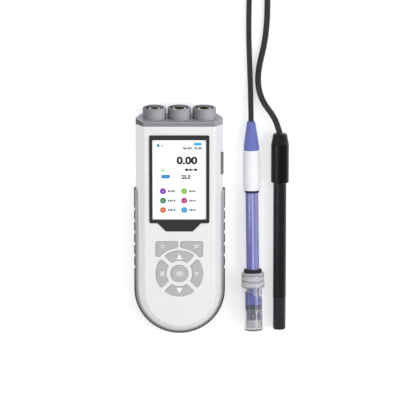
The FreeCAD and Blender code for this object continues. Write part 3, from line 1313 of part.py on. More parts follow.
def sockets():
    """The bayonet socket on the left and two round sockets: shells, insulators, contacts, nuts and seals."""
    places = [jack_place(x) for x in SOCKETS]
    rear = "(-cap_wall - jack_tail)"
    floor = f"({rear} + jack_floor)"
    shells, seals, nuts, insulators = [], [], [], []
    flange_top = "(jack_seal + flange_thickness)"
    barrel_step = "(lug_height + lug_radius + seat_gap)"
    for name, thread, flange, root, barrel, bore in (
        ("bnc", "bnc_thread", "bnc_flange", "bnc_root", "bnc_barrel", "bnc_bore"),
        ("round", "round_barrel", "round_flange", "round_barrel", "round_barrel", "round_bore"),
    ):
        step = [(root, barrel_step), (barrel, barrel_step)] if root != barrel else []
        shells.append(turned(f"{name}_jack", [
            (bore, rear),
            (thread, rear),
            (thread, "jack_seal"),
            (flange, "jack_seal"),
            (flange, flange_top),
            (root, flange_top),
            *step,
            (barrel, "jack_height - fine_edge"),
            (f"{barrel} - fine_edge", "jack_height"),
            (bore, "jack_height"),
        ]))
        seal = rectangle(f"{thread} + seat_gap", "0", f"{flange} - thread_gap", "jack_seal")
        seals.append(turned(f"{name}_jack_seal", seal))
        nut = new_body(f"{name}_nut")
        sketch = new_sketch(nut, "hexagon", lift="-cap_wall - nut_thickness")
        reach, angles = "nut_flats / cos(30)", [60 * step + 30 for step in range(6)]
        pad(draw(sketch, [(f"{reach} * cos({a})", f"{reach} * sin({a})") for a in angles]), "nut_thickness")
        hole = new_sketch(nut, "hole", lift="-cap_wall - nut_thickness")
        pocket(circle(hole, "0", "0", f"{thread} + thread_gap"), "nut_thickness", back=True)
        nuts.append(nut)
    lugs = new_body("bnc_lugs")
    lug_sketch = circle(new_sketch(lugs, "lug", "YZ"), "0", "lug_height", "lug_radius")
    pad(lug_sketch, "2 * lug_reach", middle=True)
    lug_room = turned("bnc_lug_room", rectangle("0", "0", "(bnc_barrel + bnc_bore) / 2", "jack_height"))
    lug_pair = combined("Cut", "bnc_lug_pair", lugs, lug_room)
    bnc_shell = combined("Fuse", "bnc_jack_shell", shells[0], lug_pair)
    insulators.append(turned("bnc_insulator", [
        ("bnc_contact + seat_gap", rear),
        ("bnc_bore - seat_gap", rear),
        ("bnc_bore - seat_gap", floor),
        ("bnc_core", floor),
        ("bnc_core", "jack_height - core_depth"),
        ("bnc_contact + seat_gap", "jack_height - core_depth"),
    ]))
    insulators.append(turned("round_insulator", rectangle("0", rear, "round_bore - seat_gap", "jack_seal")))
    insulator = insulators[1]
    holes = new_sketch(insulator, "pin_holes", lift=rear)
    pin_spots = [(f"pin_circle * cos({a})", f"pin_circle * sin({a})") for a in (45, 135, 225, 315)]
    for x, y in pin_spots:
        circle(holes, x, y, "pin_radius + seat_gap")
    pocket(holes, f"jack_seal - {rear}", back=True)
    tail = f"({rear} - pin_tail)"
    pin_end = "jack_height - core_depth - fine_edge"
    bnc_pin = turned("bnc_contact", rectangle("0", tail, "bnc_contact", pin_end))
    round_pin = turned("round_contact", [
        ("0", tail),
        ("pin_radius", tail),
        ("pin_radius", "jack_height - pin_depth - fine_edge"),
        ("0", "jack_height - pin_depth"),
    ])
    kinds = (0, 1, 1)
    jack_solids = [bnc_shell, shells[1]]
    group("jack_shells", [moved(jack_solids[k].Shape, p) for k, p in zip(kinds, places)])
    group("jack_seals", [moved(seals[k].Shape, p) for k, p in zip(kinds, places)])
    group("jack_nuts", [moved(nuts[k].Shape, p) for k, p in zip(kinds, places)])
    group("jack_insulators", [moved(insulators[k].Shape, p) for k, p in zip(kinds, places)])
    pins = [moved(bnc_pin.Shape, places[0])]
    for place in places[1:]:
        for x, y in pin_spots:
            spot = FreeCAD.Placement(V(num(x), num(y), 0), FreeCAD.Rotation())
            pins.append(moved(round_pin.Shape, place.multiply(spot)))
    group("jack_contacts", pins)
    leads = []
    first_pin = V(num("pin_circle * cos(225)"), num("pin_circle * sin(225)"), 0)
    edge_x = num("board_width / 2 - 2 * wire_radius - seat_gap")
    for place, pin in zip(places, (V(), first_pin, first_pin)):
        start = place.multVec(pin + V(0, 0, num(tail)))
        back = place.Rotation.multVec(V(0, 0, -num("pin_tail")))
        end = V(max(start.x, -edge_x), num("board_high_y - 1"), num("board_top + wire_radius + seat_gap"))
        route = [start, start + back, end + V(0, num("pin_tail"), 0), end]
        leads.append(tube(route, num("wire_radius"), 0.3))
    group("socket_leads", leads)


# Cords and leads: straight runs joined by tangent arcs.
def disc(centre, axis, radius):
    """A round face square to the axis."""
    return Part.Face(Part.Wire(Part.Circle(centre, axis, radius).toShape()))


def tube(points, radius, share=0.45, name=None):
    """A round tube whose arcs are as large as their two runs allow, held against its section and length."""
    pieces, arcs, length = [], [], 0
    here = points[0]
    for before, corner, after in zip(points, points[1:], points[2:]):
        into, out = corner - before, after - corner
        trim = share * min(into.Length, out.Length)
        into.normalize()
        out.normalize()
        turn = into.getAngle(out)
        arcs.append(trim / math.tan(turn / 2))
        start = corner - into * trim
        axis = into.cross(out).normalize()
        centre = start + axis.cross(into) * arcs[-1]
        pieces.append(disc(here, into, radius).extrude(start - here))
        pieces.append(disc(start, into, radius).revolve(centre, axis, math.degrees(turn)))
        length += (start - here).Length + arcs[-1] * turn
        here = corner + out * trim
    last = points[-1] - here
    pieces.append(disc(here, last, radius).extrude(last))
    length += last.Length
    solid = pieces[0].multiFuse(pieces[1:]).Solids[0]
    expected = math.pi * radius**2 * length
    if abs(solid.Volume / expected - 1) > 0.002:
        raise ValueError(f"tube volume {solid.Volume:.1f} against {expected:.1f}")
    if name:
        tightest = min(arcs)
        bend = tightest / 2 / radius
        print(f"{name}: length {length:.1f}, tightest arc {tightest:.1f}, {bend:.1f} diameters")
    return solid


def flat_ring(label, outer, inner, height):
    """A ring of rectangular section lying on z = 0."""
    return turned(label, rectangle(inner, "0", outer, height))


def coil(prefix, lead, turn, x, y, tie_at):
    """A coil's outer shape and the strap round it, at an angle."""
    outer, inner = f"({turn} + {lead} / 2)", f"({turn} - 1.5 * {lead})"
    height = f"(coil_layers * {lead})"
    place = FreeCAD.Placement(V(num(x), num(y), num("coil_floor")), FreeCAD.Rotation())
    ring = flat_ring(f"{prefix}_coil", outer, inner, height)
    ring.Placement = place
    keep(ring)
    strap = new_body(f"{prefix}_tie")
    reach = "(tie_thickness + seat_gap)"
    corners = rectangle(f"{inner} - {reach}", f"-{reach}", f"{outer} + {reach}", f"{height} + {reach}")
    band = draw(new_sketch(strap, "band", "XZ"), corners)
    feature = strap.newObject("PartDesign::Revolution", f"{prefix}_tie_band")
    feature.Profile = band
    feature.ReferenceAxis = (band, ["V_Axis"])
    feature.Angle = num("tie_angle")
    feature.setExpression("Angle", bound("tie_angle"))
    DOC.recompute()
    hollow = rectangle(f"{inner} - seat_gap", "-seat_gap", f"{outer} + seat_gap", f"{height} + seat_gap")
    spin(draw(new_sketch(strap, "inside", "XZ"), hollow), "Groove")
    strap.Placement = place.multiply(FreeCAD.Placement(V(), FreeCAD.Rotation(V(0, 0, 1), num(tie_at))))
    keep(strap)


def coil_exit(turn, lead, x, y, angle, way, boot_radius, height):
    """Where a plug's rear end lies: on the tangent that leaves the outer turns at an angle.
    The way is 1 for a coil wound anticlockwise and -1 for a clockwise one."""
    a = math.radians(num(angle))
    outward, forward = V(math.cos(a), math.sin(a), 0), V(-math.sin(a), math.cos(a), 0) * way
    turn_size, ring_size = num(turn), num(f"{turn} + {lead} / 2")
    clear = math.sqrt(ring_size**2 - (turn_size - num(boot_radius)) ** 2) + 0.1
    base = V(num(x), num(y), 0) + outward * turn_size + forward * clear + V(0, 0, num(height))
    turn_about = FreeCAD.Rotation(V(0, 0, 1), forward)
    return FreeCAD.Placement(base, turn_about)


# The pH electrode: its own frame has z along the tube from the tip towards the lead.
def ph_place():
    """The electrode lies on its bottle's nut and on the belly of its handle."""
    span = num("tube_length + belly_height - nut_high")
    fall = math.degrees(math.asin(num("nut_radius - handle_radius") / span))
    height = num("nut_radius + floor_gap") + num("nut_high") * math.sin(math.radians(fall))
    turn = FreeCAD.Rotation(V(0, 0, 1), num("ph_lean")).multiply(FreeCAD.Rotation(V(1, 0, 0), -90 - fall))
    return FreeCAD.Placement(V(num("ph_tip_x"), num("ph_tip_y"), height), turn)


def put(body, place):
    """A finished piece moved to where it lies, and kept."""
    body.Placement = place
    DOC.recompute()
    return keep(body)


HANDLE_TOP = "(tube_length + handle_length)"
BOOT_TOP = f"({HANDLE_TOP} + boot_length)"


def ph_electrode():
    """Tube with its slotted guard, glass stem and bulb, porous plug, silver wire, handle and boot."""
    place = ph_place()
    pipe = turned("ph_tube", [
        ("tube_bore", "0"),
        ("tube_radius - fine_edge", "0"),
        ("tube_radius", "fine_edge"),
        ("tube_radius", "tube_length + socket_depth"),
        ("tube_bore", "tube_length + socket_depth"),
    ])
    slot = rectangle("-guard_slot / 2", "-1", "guard_slot / 2", "guard_length - guard_slot")
    for plane in ("XZ", "YZ"):
        pocket(draw(new_sketch(pipe, f"guard_{plane}", plane), slot), "3 * tube_radius", middle=True)
    put(pipe, place)
    stem_high = "(tube_length + socket_depth)"
    waist = "(bulb_height + sqrt(bulb_radius ^ 2 - stem_outer ^ 2))"
    inside = "(bulb_radius - glass_wall)"
    bore = "(stem_outer - glass_wall)"
    inner_waist = f"(bulb_height + sqrt({inside} ^ 2 - {bore} ^ 2))"
    stem = turned("ph_stem", [
        ("0", "bulb_height - bulb_radius"),
        ("bulb_radius", "bulb_height", "bulb_radius", "left"),
        ("stem_outer", waist, "bulb_radius", "left"),
        ("stem_outer", stem_high),
        (bore, stem_high),
        (bore, inner_waist),
        (inside, "bulb_height", inside, "right"),
        ("0", f"bulb_height - {inside}", inside, "right"),
    ])
    put(stem, place)
    porous = rectangle("stem_outer + seat_gap", "plug_low", "tube_bore - seat_gap", "plug_low + plug_length")
    put(turned("ph_junction", porous), place)
    wire = turned("ph_silver_wire", [
        ("0", "silver_low"),
        ("silver_radius", "silver_low + silver_radius", "silver_radius", "left"),
        ("silver_radius", stem_high),
        ("0", stem_high),
    ])
    put(wire, place)
    ring = turned("ph_seal_ring", [
        ("tube_radius + seat_gap", "tube_length - collar_ring_height"),
        ("collar_ring_radius - fine_edge", "tube_length - collar_ring_height"),
        ("collar_ring_radius", "tube_length - collar_ring_height + fine_edge"),
        ("collar_ring_radius", "tube_length"),
        ("tube_radius + seat_gap", "tube_length"),
    ])
    put(ring, place)
    belly = "(tube_length + belly_height)"
    handle = new_body("ph_handle")
    swell, taper = "(handle_radius - handle_foot_radius)", "(handle_radius - handle_top_radius)"
    rest = "(handle_length - belly_height)"
    low_arc = f"((belly_height ^ 2 + {swell} ^ 2) / 2 / {swell})"
    high_arc = f"(({rest} ^ 2 + {taper} ^ 2) / 2 / {taper})"
    spin(draw(new_sketch(handle, "profile", "XZ"), [
        ("0", "tube_length + socket_depth + seat_gap"),
        ("tube_radius + seat_gap", "tube_length + socket_depth + seat_gap"),
        ("tube_radius + seat_gap", "tube_length"),
        ("handle_foot_radius", "tube_length"),
        ("handle_radius", belly, low_arc, "left"),
        ("handle_top_radius", HANDLE_TOP, high_arc, "left"),
        ("spigot_radius + seat_gap", HANDLE_TOP),
        ("spigot_radius + seat_gap", f"{HANDLE_TOP} - boot_spigot - seat_gap"),
        ("0", f"{HANDLE_TOP} - boot_spigot - seat_gap"),
    ]))
    put(handle, place)
    boot = turned("ph_boot", [
        ("0", f"{HANDLE_TOP} - boot_spigot"),
        ("spigot_radius", f"{HANDLE_TOP} - boot_spigot"),
        ("spigot_radius", HANDLE_TOP),
        ("boot_radius - 0.2", HANDLE_TOP),
        ("boot_radius", f"{HANDLE_TOP} + 3"),
        ("boot_tip_radius + 0.4", f"{BOOT_TOP} - 1"),
        ("boot_tip_radius", BOOT_TOP),
        ("0", BOOT_TOP),
    ])
    put(boot, place)
    return place


def storage_bottle(place):
    """The soaking bottle over the tip, its fluted nut and the rubber ring that seals round the tube."""
    inner = "(bottle_radius - bottle_wall)"
    floor = "(bottle_floor - bottle_end)"
    bottle = turned("storage_bottle", [
        ("0", "-bottle_end"),
        ("bottle_radius - bottle_round", "-bottle_end"),
        ("bottle_radius", "bottle_round - bottle_end", "bottle_round", "left"),
        ("bottle_radius", "bottle_mouth"),
        (inner, "bottle_mouth"),
        (inner, f"{floor} + 1"),
        (f"{inner} - 1", floor),
        ("0", floor),
    ])
    put(bottle, place)
    web = "(bottle_mouth + nut_gap)"
    nut = turned("bottle_nut", [
        ("bottle_radius + nut_gap", "nut_low"),
        ("nut_radius - turned_edge", "nut_low"),
        ("nut_radius", "nut_low + turned_edge"),
        ("nut_radius", "nut_high - broad_edge"),
        ("nut_radius - broad_edge", "nut_high"),
        ("nut_hole", "nut_high"),
        ("nut_hole", web),
        ("bottle_radius + nut_gap", web),
    ])
    flute_at, length = "nut_radius + flute_radius * flute_lift", "nut_high - nut_low - 2 * flute_margin"
    flute(nut, "flute_count", flute_at, "flute_radius", "nut_low + flute_margin", length)
    put(nut, place)
    rounding = "(ring_height / 4)"
    ring = turned("bottle_seal_ring", [
        ("ring_hole", "nut_high"),
        (f"ring_radius - {rounding}", "nut_high"),
        ("ring_radius", f"nut_high + {rounding}", rounding, "left"),
        ("ring_radius", f"nut_high + ring_height - {rounding}"),
        (f"ring_radius - {rounding}", "nut_high + ring_height", rounding, "left"),
        ("ring_hole", "nut_high + ring_height"),
    ])
    put(ring, place)


# The dissolved oxygen probe: its own frame has z along the shaft from the tip towards the lead.
def do_place():
    """The probe lies on its tip and on the lower edge of its head."""
    rise = math.degrees(math.asin(num("head_radius - shaft_radius") / num("shaft_high + head_edge")))
    turn = FreeCAD.Rotation(V(1, 0, 0), rise - 90)
    return FreeCAD.Placement(V(num("do_tip_x"), num("do_tip_y"), num("shaft_radius + floor_gap")), turn)


HEAD_TOP = "(shaft_high + head_length)"
GLAND_TOP = f"({HEAD_TOP} + gland_length)"


def do_probe():
    """Shaft, sensor, membrane with its screw cap, head and gland."""
    place = do_place()
    shaft = turned("do_shaft", [
        ("shaft_bore", "shaft_low + cap_clearance"),
        ("shaft_radius", "shaft_low + cap_clearance"),
        ("shaft_radius", "shaft_high"),
        ("tenon_radius", "shaft_high"),
        ("tenon_radius", "shaft_high + shaft_tenon"),
        ("shaft_bore", "shaft_high + shaft_tenon"),
    ])
    put(shaft, place)
    neck = "(sensor_tip + sensor_nose)"
    sensor = turned("do_sensor", [
        ("0", "sensor_tip"),
        ("sensor_nose_radius - broad_edge", "sensor_tip"),
        ("sensor_nose_radius", "sensor_tip + broad_edge", "broad_edge", "left"),
        ("sensor_nose_radius", neck),
        ("sensor_thread", f"{neck} + sensor_cone"),
        ("sensor_thread", "shaft_low"),
        ("shaft_bore - seat_gap", "shaft_low"),
        ("shaft_bore - seat_gap", "sensor_high"),
        ("0", "sensor_high"),
    ])
    put(sensor, place)
    cap = turned("membrane_cap_body", [
        ("cap_opening", "0"),
        ("cap_radius - turned_edge", "0"),
        ("cap_radius", "turned_edge"),
        ("cap_radius", "cap_groove - cap_groove_depth"),
        ("cap_radius - cap_groove_depth", "cap_groove"),
        ("cap_radius", "cap_groove + cap_groove_depth"),
        ("cap_radius", "shaft_low - cap_clearance"),
        ("cap_bore", "shaft_low - cap_clearance"),
        ("cap_bore", "cap_lip"),
        ("cap_opening", "cap_lip"),
    ])
    film = rectangle("0", "cap_lip", "cap_bore - seat_gap", "cap_lip + membrane_thickness")
    membrane = turned("membrane", film)
    group("membrane_cap", [moved(piece.Shape, place) for piece in (cap, membrane)])
    tenon = "(shaft_high + shaft_tenon + seat_gap)"
    shoulder = "(shaft_high + seat_gap)"
    head = turned("do_head", [
        ("0", tenon),
        ("tenon_radius + seat_gap", tenon),
        ("tenon_radius + seat_gap", shoulder),
        ("head_radius - head_edge", shoulder),
        ("head_radius", "shaft_high + head_edge"),
        ("head_radius", HEAD_TOP),
        ("gland_core + seat_gap", HEAD_TOP),
        ("gland_core + seat_gap", f"{HEAD_TOP} - gland_spigot - seat_gap"),
        ("0", f"{HEAD_TOP} - gland_spigot - seat_gap"),
    ])
    put(head, place)
    gland = turned("do_gland", [
        ("0", f"{HEAD_TOP} - gland_spigot"),
        ("gland_core", f"{HEAD_TOP} - gland_spigot"),
        ("gland_core", HEAD_TOP),
        ("gland_foot_radius", HEAD_TOP),
        ("gland_radius", f"{GLAND_TOP} - broad_edge"),
        ("gland_radius - broad_edge", GLAND_TOP),
        ("0", GLAND_TOP),
    ])
    put(gland, place)
    return place


# The leads: points chosen by hand, each route ending in its coil's outer turn.
PH_ROUTE = [
    (65.2, 126.0, 4.7),
    (64.3, 150.0, 3.1),
    (63.4, 178.0, 2.8),
    (63.7, 206.0, 3.0),
    (64.5, 226.0, 3.3),
    (65.0, 243.0, 3.4),
]
DO_ROUTE = [
    (89.6, 94.7, 9.0),
    (84.4, 103.8, 8.3),
    (77.9, 112.1, 6.8),
    (73.4, 122.1, 5.0),
    (71.8, 134.0, 3.8),
    (73.2, 147.9, 3.2),
    (77.6, 165.4, 3.1),
    (80.1, 185.2, 3.2),
    (80.6, 205.0, 3.4),
    (80.4, 227.0, 3.6),
    (80.4, 245.0, 3.7),
]


def leads(ph_frame, do_frame):
    """Both leads with their coils, straps and plugs. Each tube runs on into its coil."""
    coil("ph", "ph_lead", "ph_turn", "ph_coil_x", "ph_coil_y", "ph_tie_at")
    coil("do", "do_lead", "do_turn", "do_coil_x", "do_coil_y", "do_tie_at")
    ph_exit = ph_frame.multVec(V(0, 0, num(BOOT_TOP)))
    ph_ahead = ph_frame.multVec(V(0, 0, num(f"{BOOT_TOP} + ph_first_run")))
    ph_points = [ph_exit, ph_ahead] + [V(*p) for p in PH_ROUTE]
    group("ph_cord", [tube(ph_points, num("ph_lead / 2"), name="ph_cord")])
    do_exit = do_frame.multVec(V(0, 0, num(f"{GLAND_TOP} - gland_grip")))
    group("do_cord", [tube([do_exit] + [V(*p) for p in DO_ROUTE], num("do_lead / 2"), name="do_cord")])
    ph_coil = ("ph_turn", "ph_lead", "ph_coil_x", "ph_coil_y", "ph_leave_at")
    bayonet_plug(coil_exit(*ph_coil, 1, "bnc_boot_radius", "bayonet_radius + floor_gap"))
    do_coil = ("do_turn", "do_lead", "do_coil_x", "do_coil_y", "do_leave_at")
    round_plug(coil_exit(*do_coil, -1, "round_boot_radius", "coupling_radius + floor_gap"))


def bayonet_plug(place):
    """The pH lead's plug and its turning bayonet ring."""
    shoulder = "(bnc_body + bnc_neck_length)"
    plug = turned("bnc_plug", [
        ("0", "0"),
        ("bnc_boot_radius", "0"),
        ("bnc_body_radius - bnc_step", "bnc_boot"),
        ("bnc_body_radius", "bnc_boot"),
        ("bnc_body_radius", "bnc_body"),
        ("bnc_neck", "bnc_body"),
        ("bnc_neck", shoulder),
        ("bayonet_bore - ring_play", shoulder),
        ("bayonet_bore - ring_play", f"{shoulder} + 1"),
        ("bnc_sleeve", f"{shoulder} + 1"),
        ("bnc_sleeve", f"{shoulder} + bnc_reach"),
        ("bnc_sleeve - sleeve_wall", f"{shoulder} + bnc_reach"),
        ("bnc_sleeve - sleeve_wall", f"{shoulder} + 1"),
        ("pin_radius", f"{shoulder} + 1"),
        ("pin_radius", f"{shoulder} + bnc_reach - 1"),
        ("0", f"{shoulder} + bnc_reach - fine_edge"),
    ])
    put(plug, place)
    low = "(bnc_body + ring_play)"
    web_top = f"({low} + bayonet_web)"
    high = f"({low} + bayonet_length)"
    ring = turned("bnc_ring", [
        ("bnc_neck + ring_play", low),
        ("bayonet_radius", low),
        ("bayonet_radius", f"{high} - fine_edge"),
        ("bayonet_radius - fine_edge", high),
        ("bayonet_bore", high),
        ("bayonet_bore", web_top),
        ("bnc_neck + ring_play", web_top),
    ])
    slot = new_sketch(ring, "slot", "XZ")
    half = "(bayonet_slot / 2)"
    mouth = rectangle(f"-{half}", f"{high} - bayonet_slot_depth", half, f"{high} + 1")
    pocket(draw(slot, mouth), "3 * bayonet_radius", middle=True)
    flute_at = "bayonet_radius + knurl_radius * flute_lift"
    flute(ring, "knurl_count", flute_at, "knurl_radius", f"{low} + knurl_start", "ring_knurl")
    put(ring, place)


def round_plug(place):
    """The oxygen lead's round plug and its turning nut."""
    shoulder = "(round_body + round_neck_length)"
    plug = turned("round_plug", [
        ("0", "0"),
        ("round_boot_radius", "0"),
        ("round_body_radius - round_step", "round_boot"),
        ("round_body_radius", "round_boot"),
        ("round_body_radius", "round_body"),
        ("round_neck", "round_body"),
        ("round_neck", shoulder),
        ("coupling_bore - ring_play", shoulder),
        ("coupling_bore - ring_play", f"{shoulder} + 1"),
        ("round_insert", f"{shoulder} + 1"),
        ("round_insert", f"{shoulder} + round_reach"),
        ("0", f"{shoulder} + round_reach"),
    ])
    holes = new_sketch(plug, "contact_holes", lift=f"{shoulder} + round_reach")
    for angle in (45, 135, 225, 315):
        circle(holes, f"pin_circle * cos({angle})", f"pin_circle * sin({angle})", "pin_radius + thread_gap")
    pocket(holes, "round_reach - 1")
    put(plug, place)
    low = "(round_body + ring_play)"
    web_top = f"({low} + coupling_web)"
    high = f"({low} + coupling_length)"
    nut = turned("plug_nut", [
        ("round_neck + ring_play", low),
        ("coupling_radius", low),
        ("coupling_radius", f"{high} - fine_edge"),
        ("coupling_radius - fine_edge", high),
        ("coupling_bore", high),
        ("coupling_bore", web_top),
        ("round_neck + ring_play", web_top),
    ])
    flute_at = "coupling_radius + knurl_radius * flute_lift"
    flute(nut, "knurl_count", flute_at, "knurl_radius", f"{low} + knurl_start", "nut_knurl")
    put(nut, place)


def meter():
    """Everything in and on the meter's housing."""
    grip, port = grip_recess(), port_zone("port_zone", "port_gap")
    opening = connector_opening()
    port_recess = wrap("port_recess", "port_proud + 3", "port_sink", port)
    recesses = DOC.addObject("Part::MultiFuse", "recesses")
    recesses.Shapes = [grip, port_recess, opening]
    DOC.recompute()
    front_shell(recesses)
    back_shell(recesses)
    housing_seal(opening)
    grip_bumper()
    port_cover()
    display()
    for name in [*KEY_OUTLINES, "key_enter"]:
        make_key(name)
    keypad_mat()
    electronics()
    battery()
    fasteners()
    top_cap()
    sockets()


def check_and_export():
    """Every object has to be sound before anything is written."""
    DOC.recompute()
    for item in DOC.Objects:
        if "Invalid" in item.State or "Error" in item.State:
            raise ValueError(f"{item.Label} failed: {item.State}")
    for label, item in NODES.items():
        if item.Shape.isNull() or not item.Shape.isValid() or not item.Shape.Solids:
            raise ValueError(f"{label} has no sound shape")
    os.makedirs("parts", exist_ok=True)
    for label, item in NODES.items():
        item.Shape.exportStep(f"parts/{label}.step")
    print(f"{len(NODES)} nodes")


meter()
ph_frame = ph_electrode()
storage_bottle(ph_frame)
do_frame = do_probe()
leads(ph_frame, do_frame)
check_and_export()
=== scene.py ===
"""Looks of a hand-held water quality meter with its two probes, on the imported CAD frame.

Lengths are in metres, in the CAD's own frame: the meter lies on its back, +Z leaves its screen,
+Y runs towards its sockets and +X towards the two probes.
"""

import logging
import math
from collections.abc import Callable, Iterator, Sequence
from contextlib import contextmanager
from dataclasses import dataclass
from enum import Enum

import bmesh
import bpy
from mathutils import Matrix, Vector


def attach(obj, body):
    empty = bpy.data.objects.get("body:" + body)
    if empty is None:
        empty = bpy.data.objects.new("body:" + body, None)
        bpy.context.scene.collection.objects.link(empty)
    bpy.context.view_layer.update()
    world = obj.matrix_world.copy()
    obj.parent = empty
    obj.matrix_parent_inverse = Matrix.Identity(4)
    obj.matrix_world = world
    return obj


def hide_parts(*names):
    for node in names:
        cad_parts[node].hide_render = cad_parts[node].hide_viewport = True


MM = 0.001
LOG = logging.getLogger("water_meter")
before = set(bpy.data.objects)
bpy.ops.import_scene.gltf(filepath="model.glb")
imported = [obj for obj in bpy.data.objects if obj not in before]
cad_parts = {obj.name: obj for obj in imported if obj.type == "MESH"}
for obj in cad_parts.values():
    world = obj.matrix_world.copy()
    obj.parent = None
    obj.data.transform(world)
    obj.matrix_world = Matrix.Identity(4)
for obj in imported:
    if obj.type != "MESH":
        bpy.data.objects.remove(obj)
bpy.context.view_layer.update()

Point = tuple[float, float, float]
Span = tuple[float, float]
Box = tuple[Span, Span]
Piece = bpy.types.Object
Socket = bpy.types.NodeSocket

# Over the distance between two bands in metres, this is the scale of a wave texture.
WAVE_SCALE = 0.314
WHITE = (1, 1, 1, 1)


def mm(first: float, second: float) -> Span:
    """Two lengths in millimetres, as metres."""
    return first * MM, second * MM


# Places that several pieces share.
@dataclass(frozen=True)
class Line:
    """An axis that turned pieces share: a point on it and its direction."""

    start: Point
    way: Point

    def at(self, along: float) -> Vector:
        """The point that lies so far along the axis."""
        return Vector(self.start) + Vector(self.way).normalized() * along

    def turn(self) -> Matrix:
        """The turn that takes +Z onto the axis."""
        return Vector(self.way).to_track_quat("Z", "Y").to_matrix().to_4x4()


ELECTRODE = Line((0.0683, -0.0912, 0.011946), (-0.01361, 0.99955, -0.02673))
OXYGEN = Line((0.0924, -0.099, 0.00605), (0.0, 0.99987, 0.016175))
SOCKET = Line((0.0, 0.100782, 0.016), (0.0, 0.99452, 0.10453))
BAYONET = Line((-0.002912, 0.257342, 0.0073), (-0.7071, -0.7071, 0.0))
ROUND_PLUG = Line((0.154012, 0.26092, 0.00805), (0.7071, -0.7071, 0.0))


# Colours and the nodes of the finishes.
@dataclass(frozen=True)
class Tone:
    """A colour as the eye reads it, in six hexadecimal digits."""

    code: str

    def linear(self, share: float = 1.0) -> tuple[float, float, float, float]:
        """The colour in linear light, made lighter or darker by a share.

        Args:
            share: what the linear values are multiplied by.

        Returns:
            Red, green, blue and an alpha of 1.
        """
        seen = [int(self.code[i : i + 2], 16) / 255 for i in (0, 2, 4)]
        light = [v / 12.92 if v <= 0.04045 else ((v + 0.055) / 1.055) ** 2.4 for v in seen]
        return (*[min(v * share, 1.0) for v in light], 1.0)


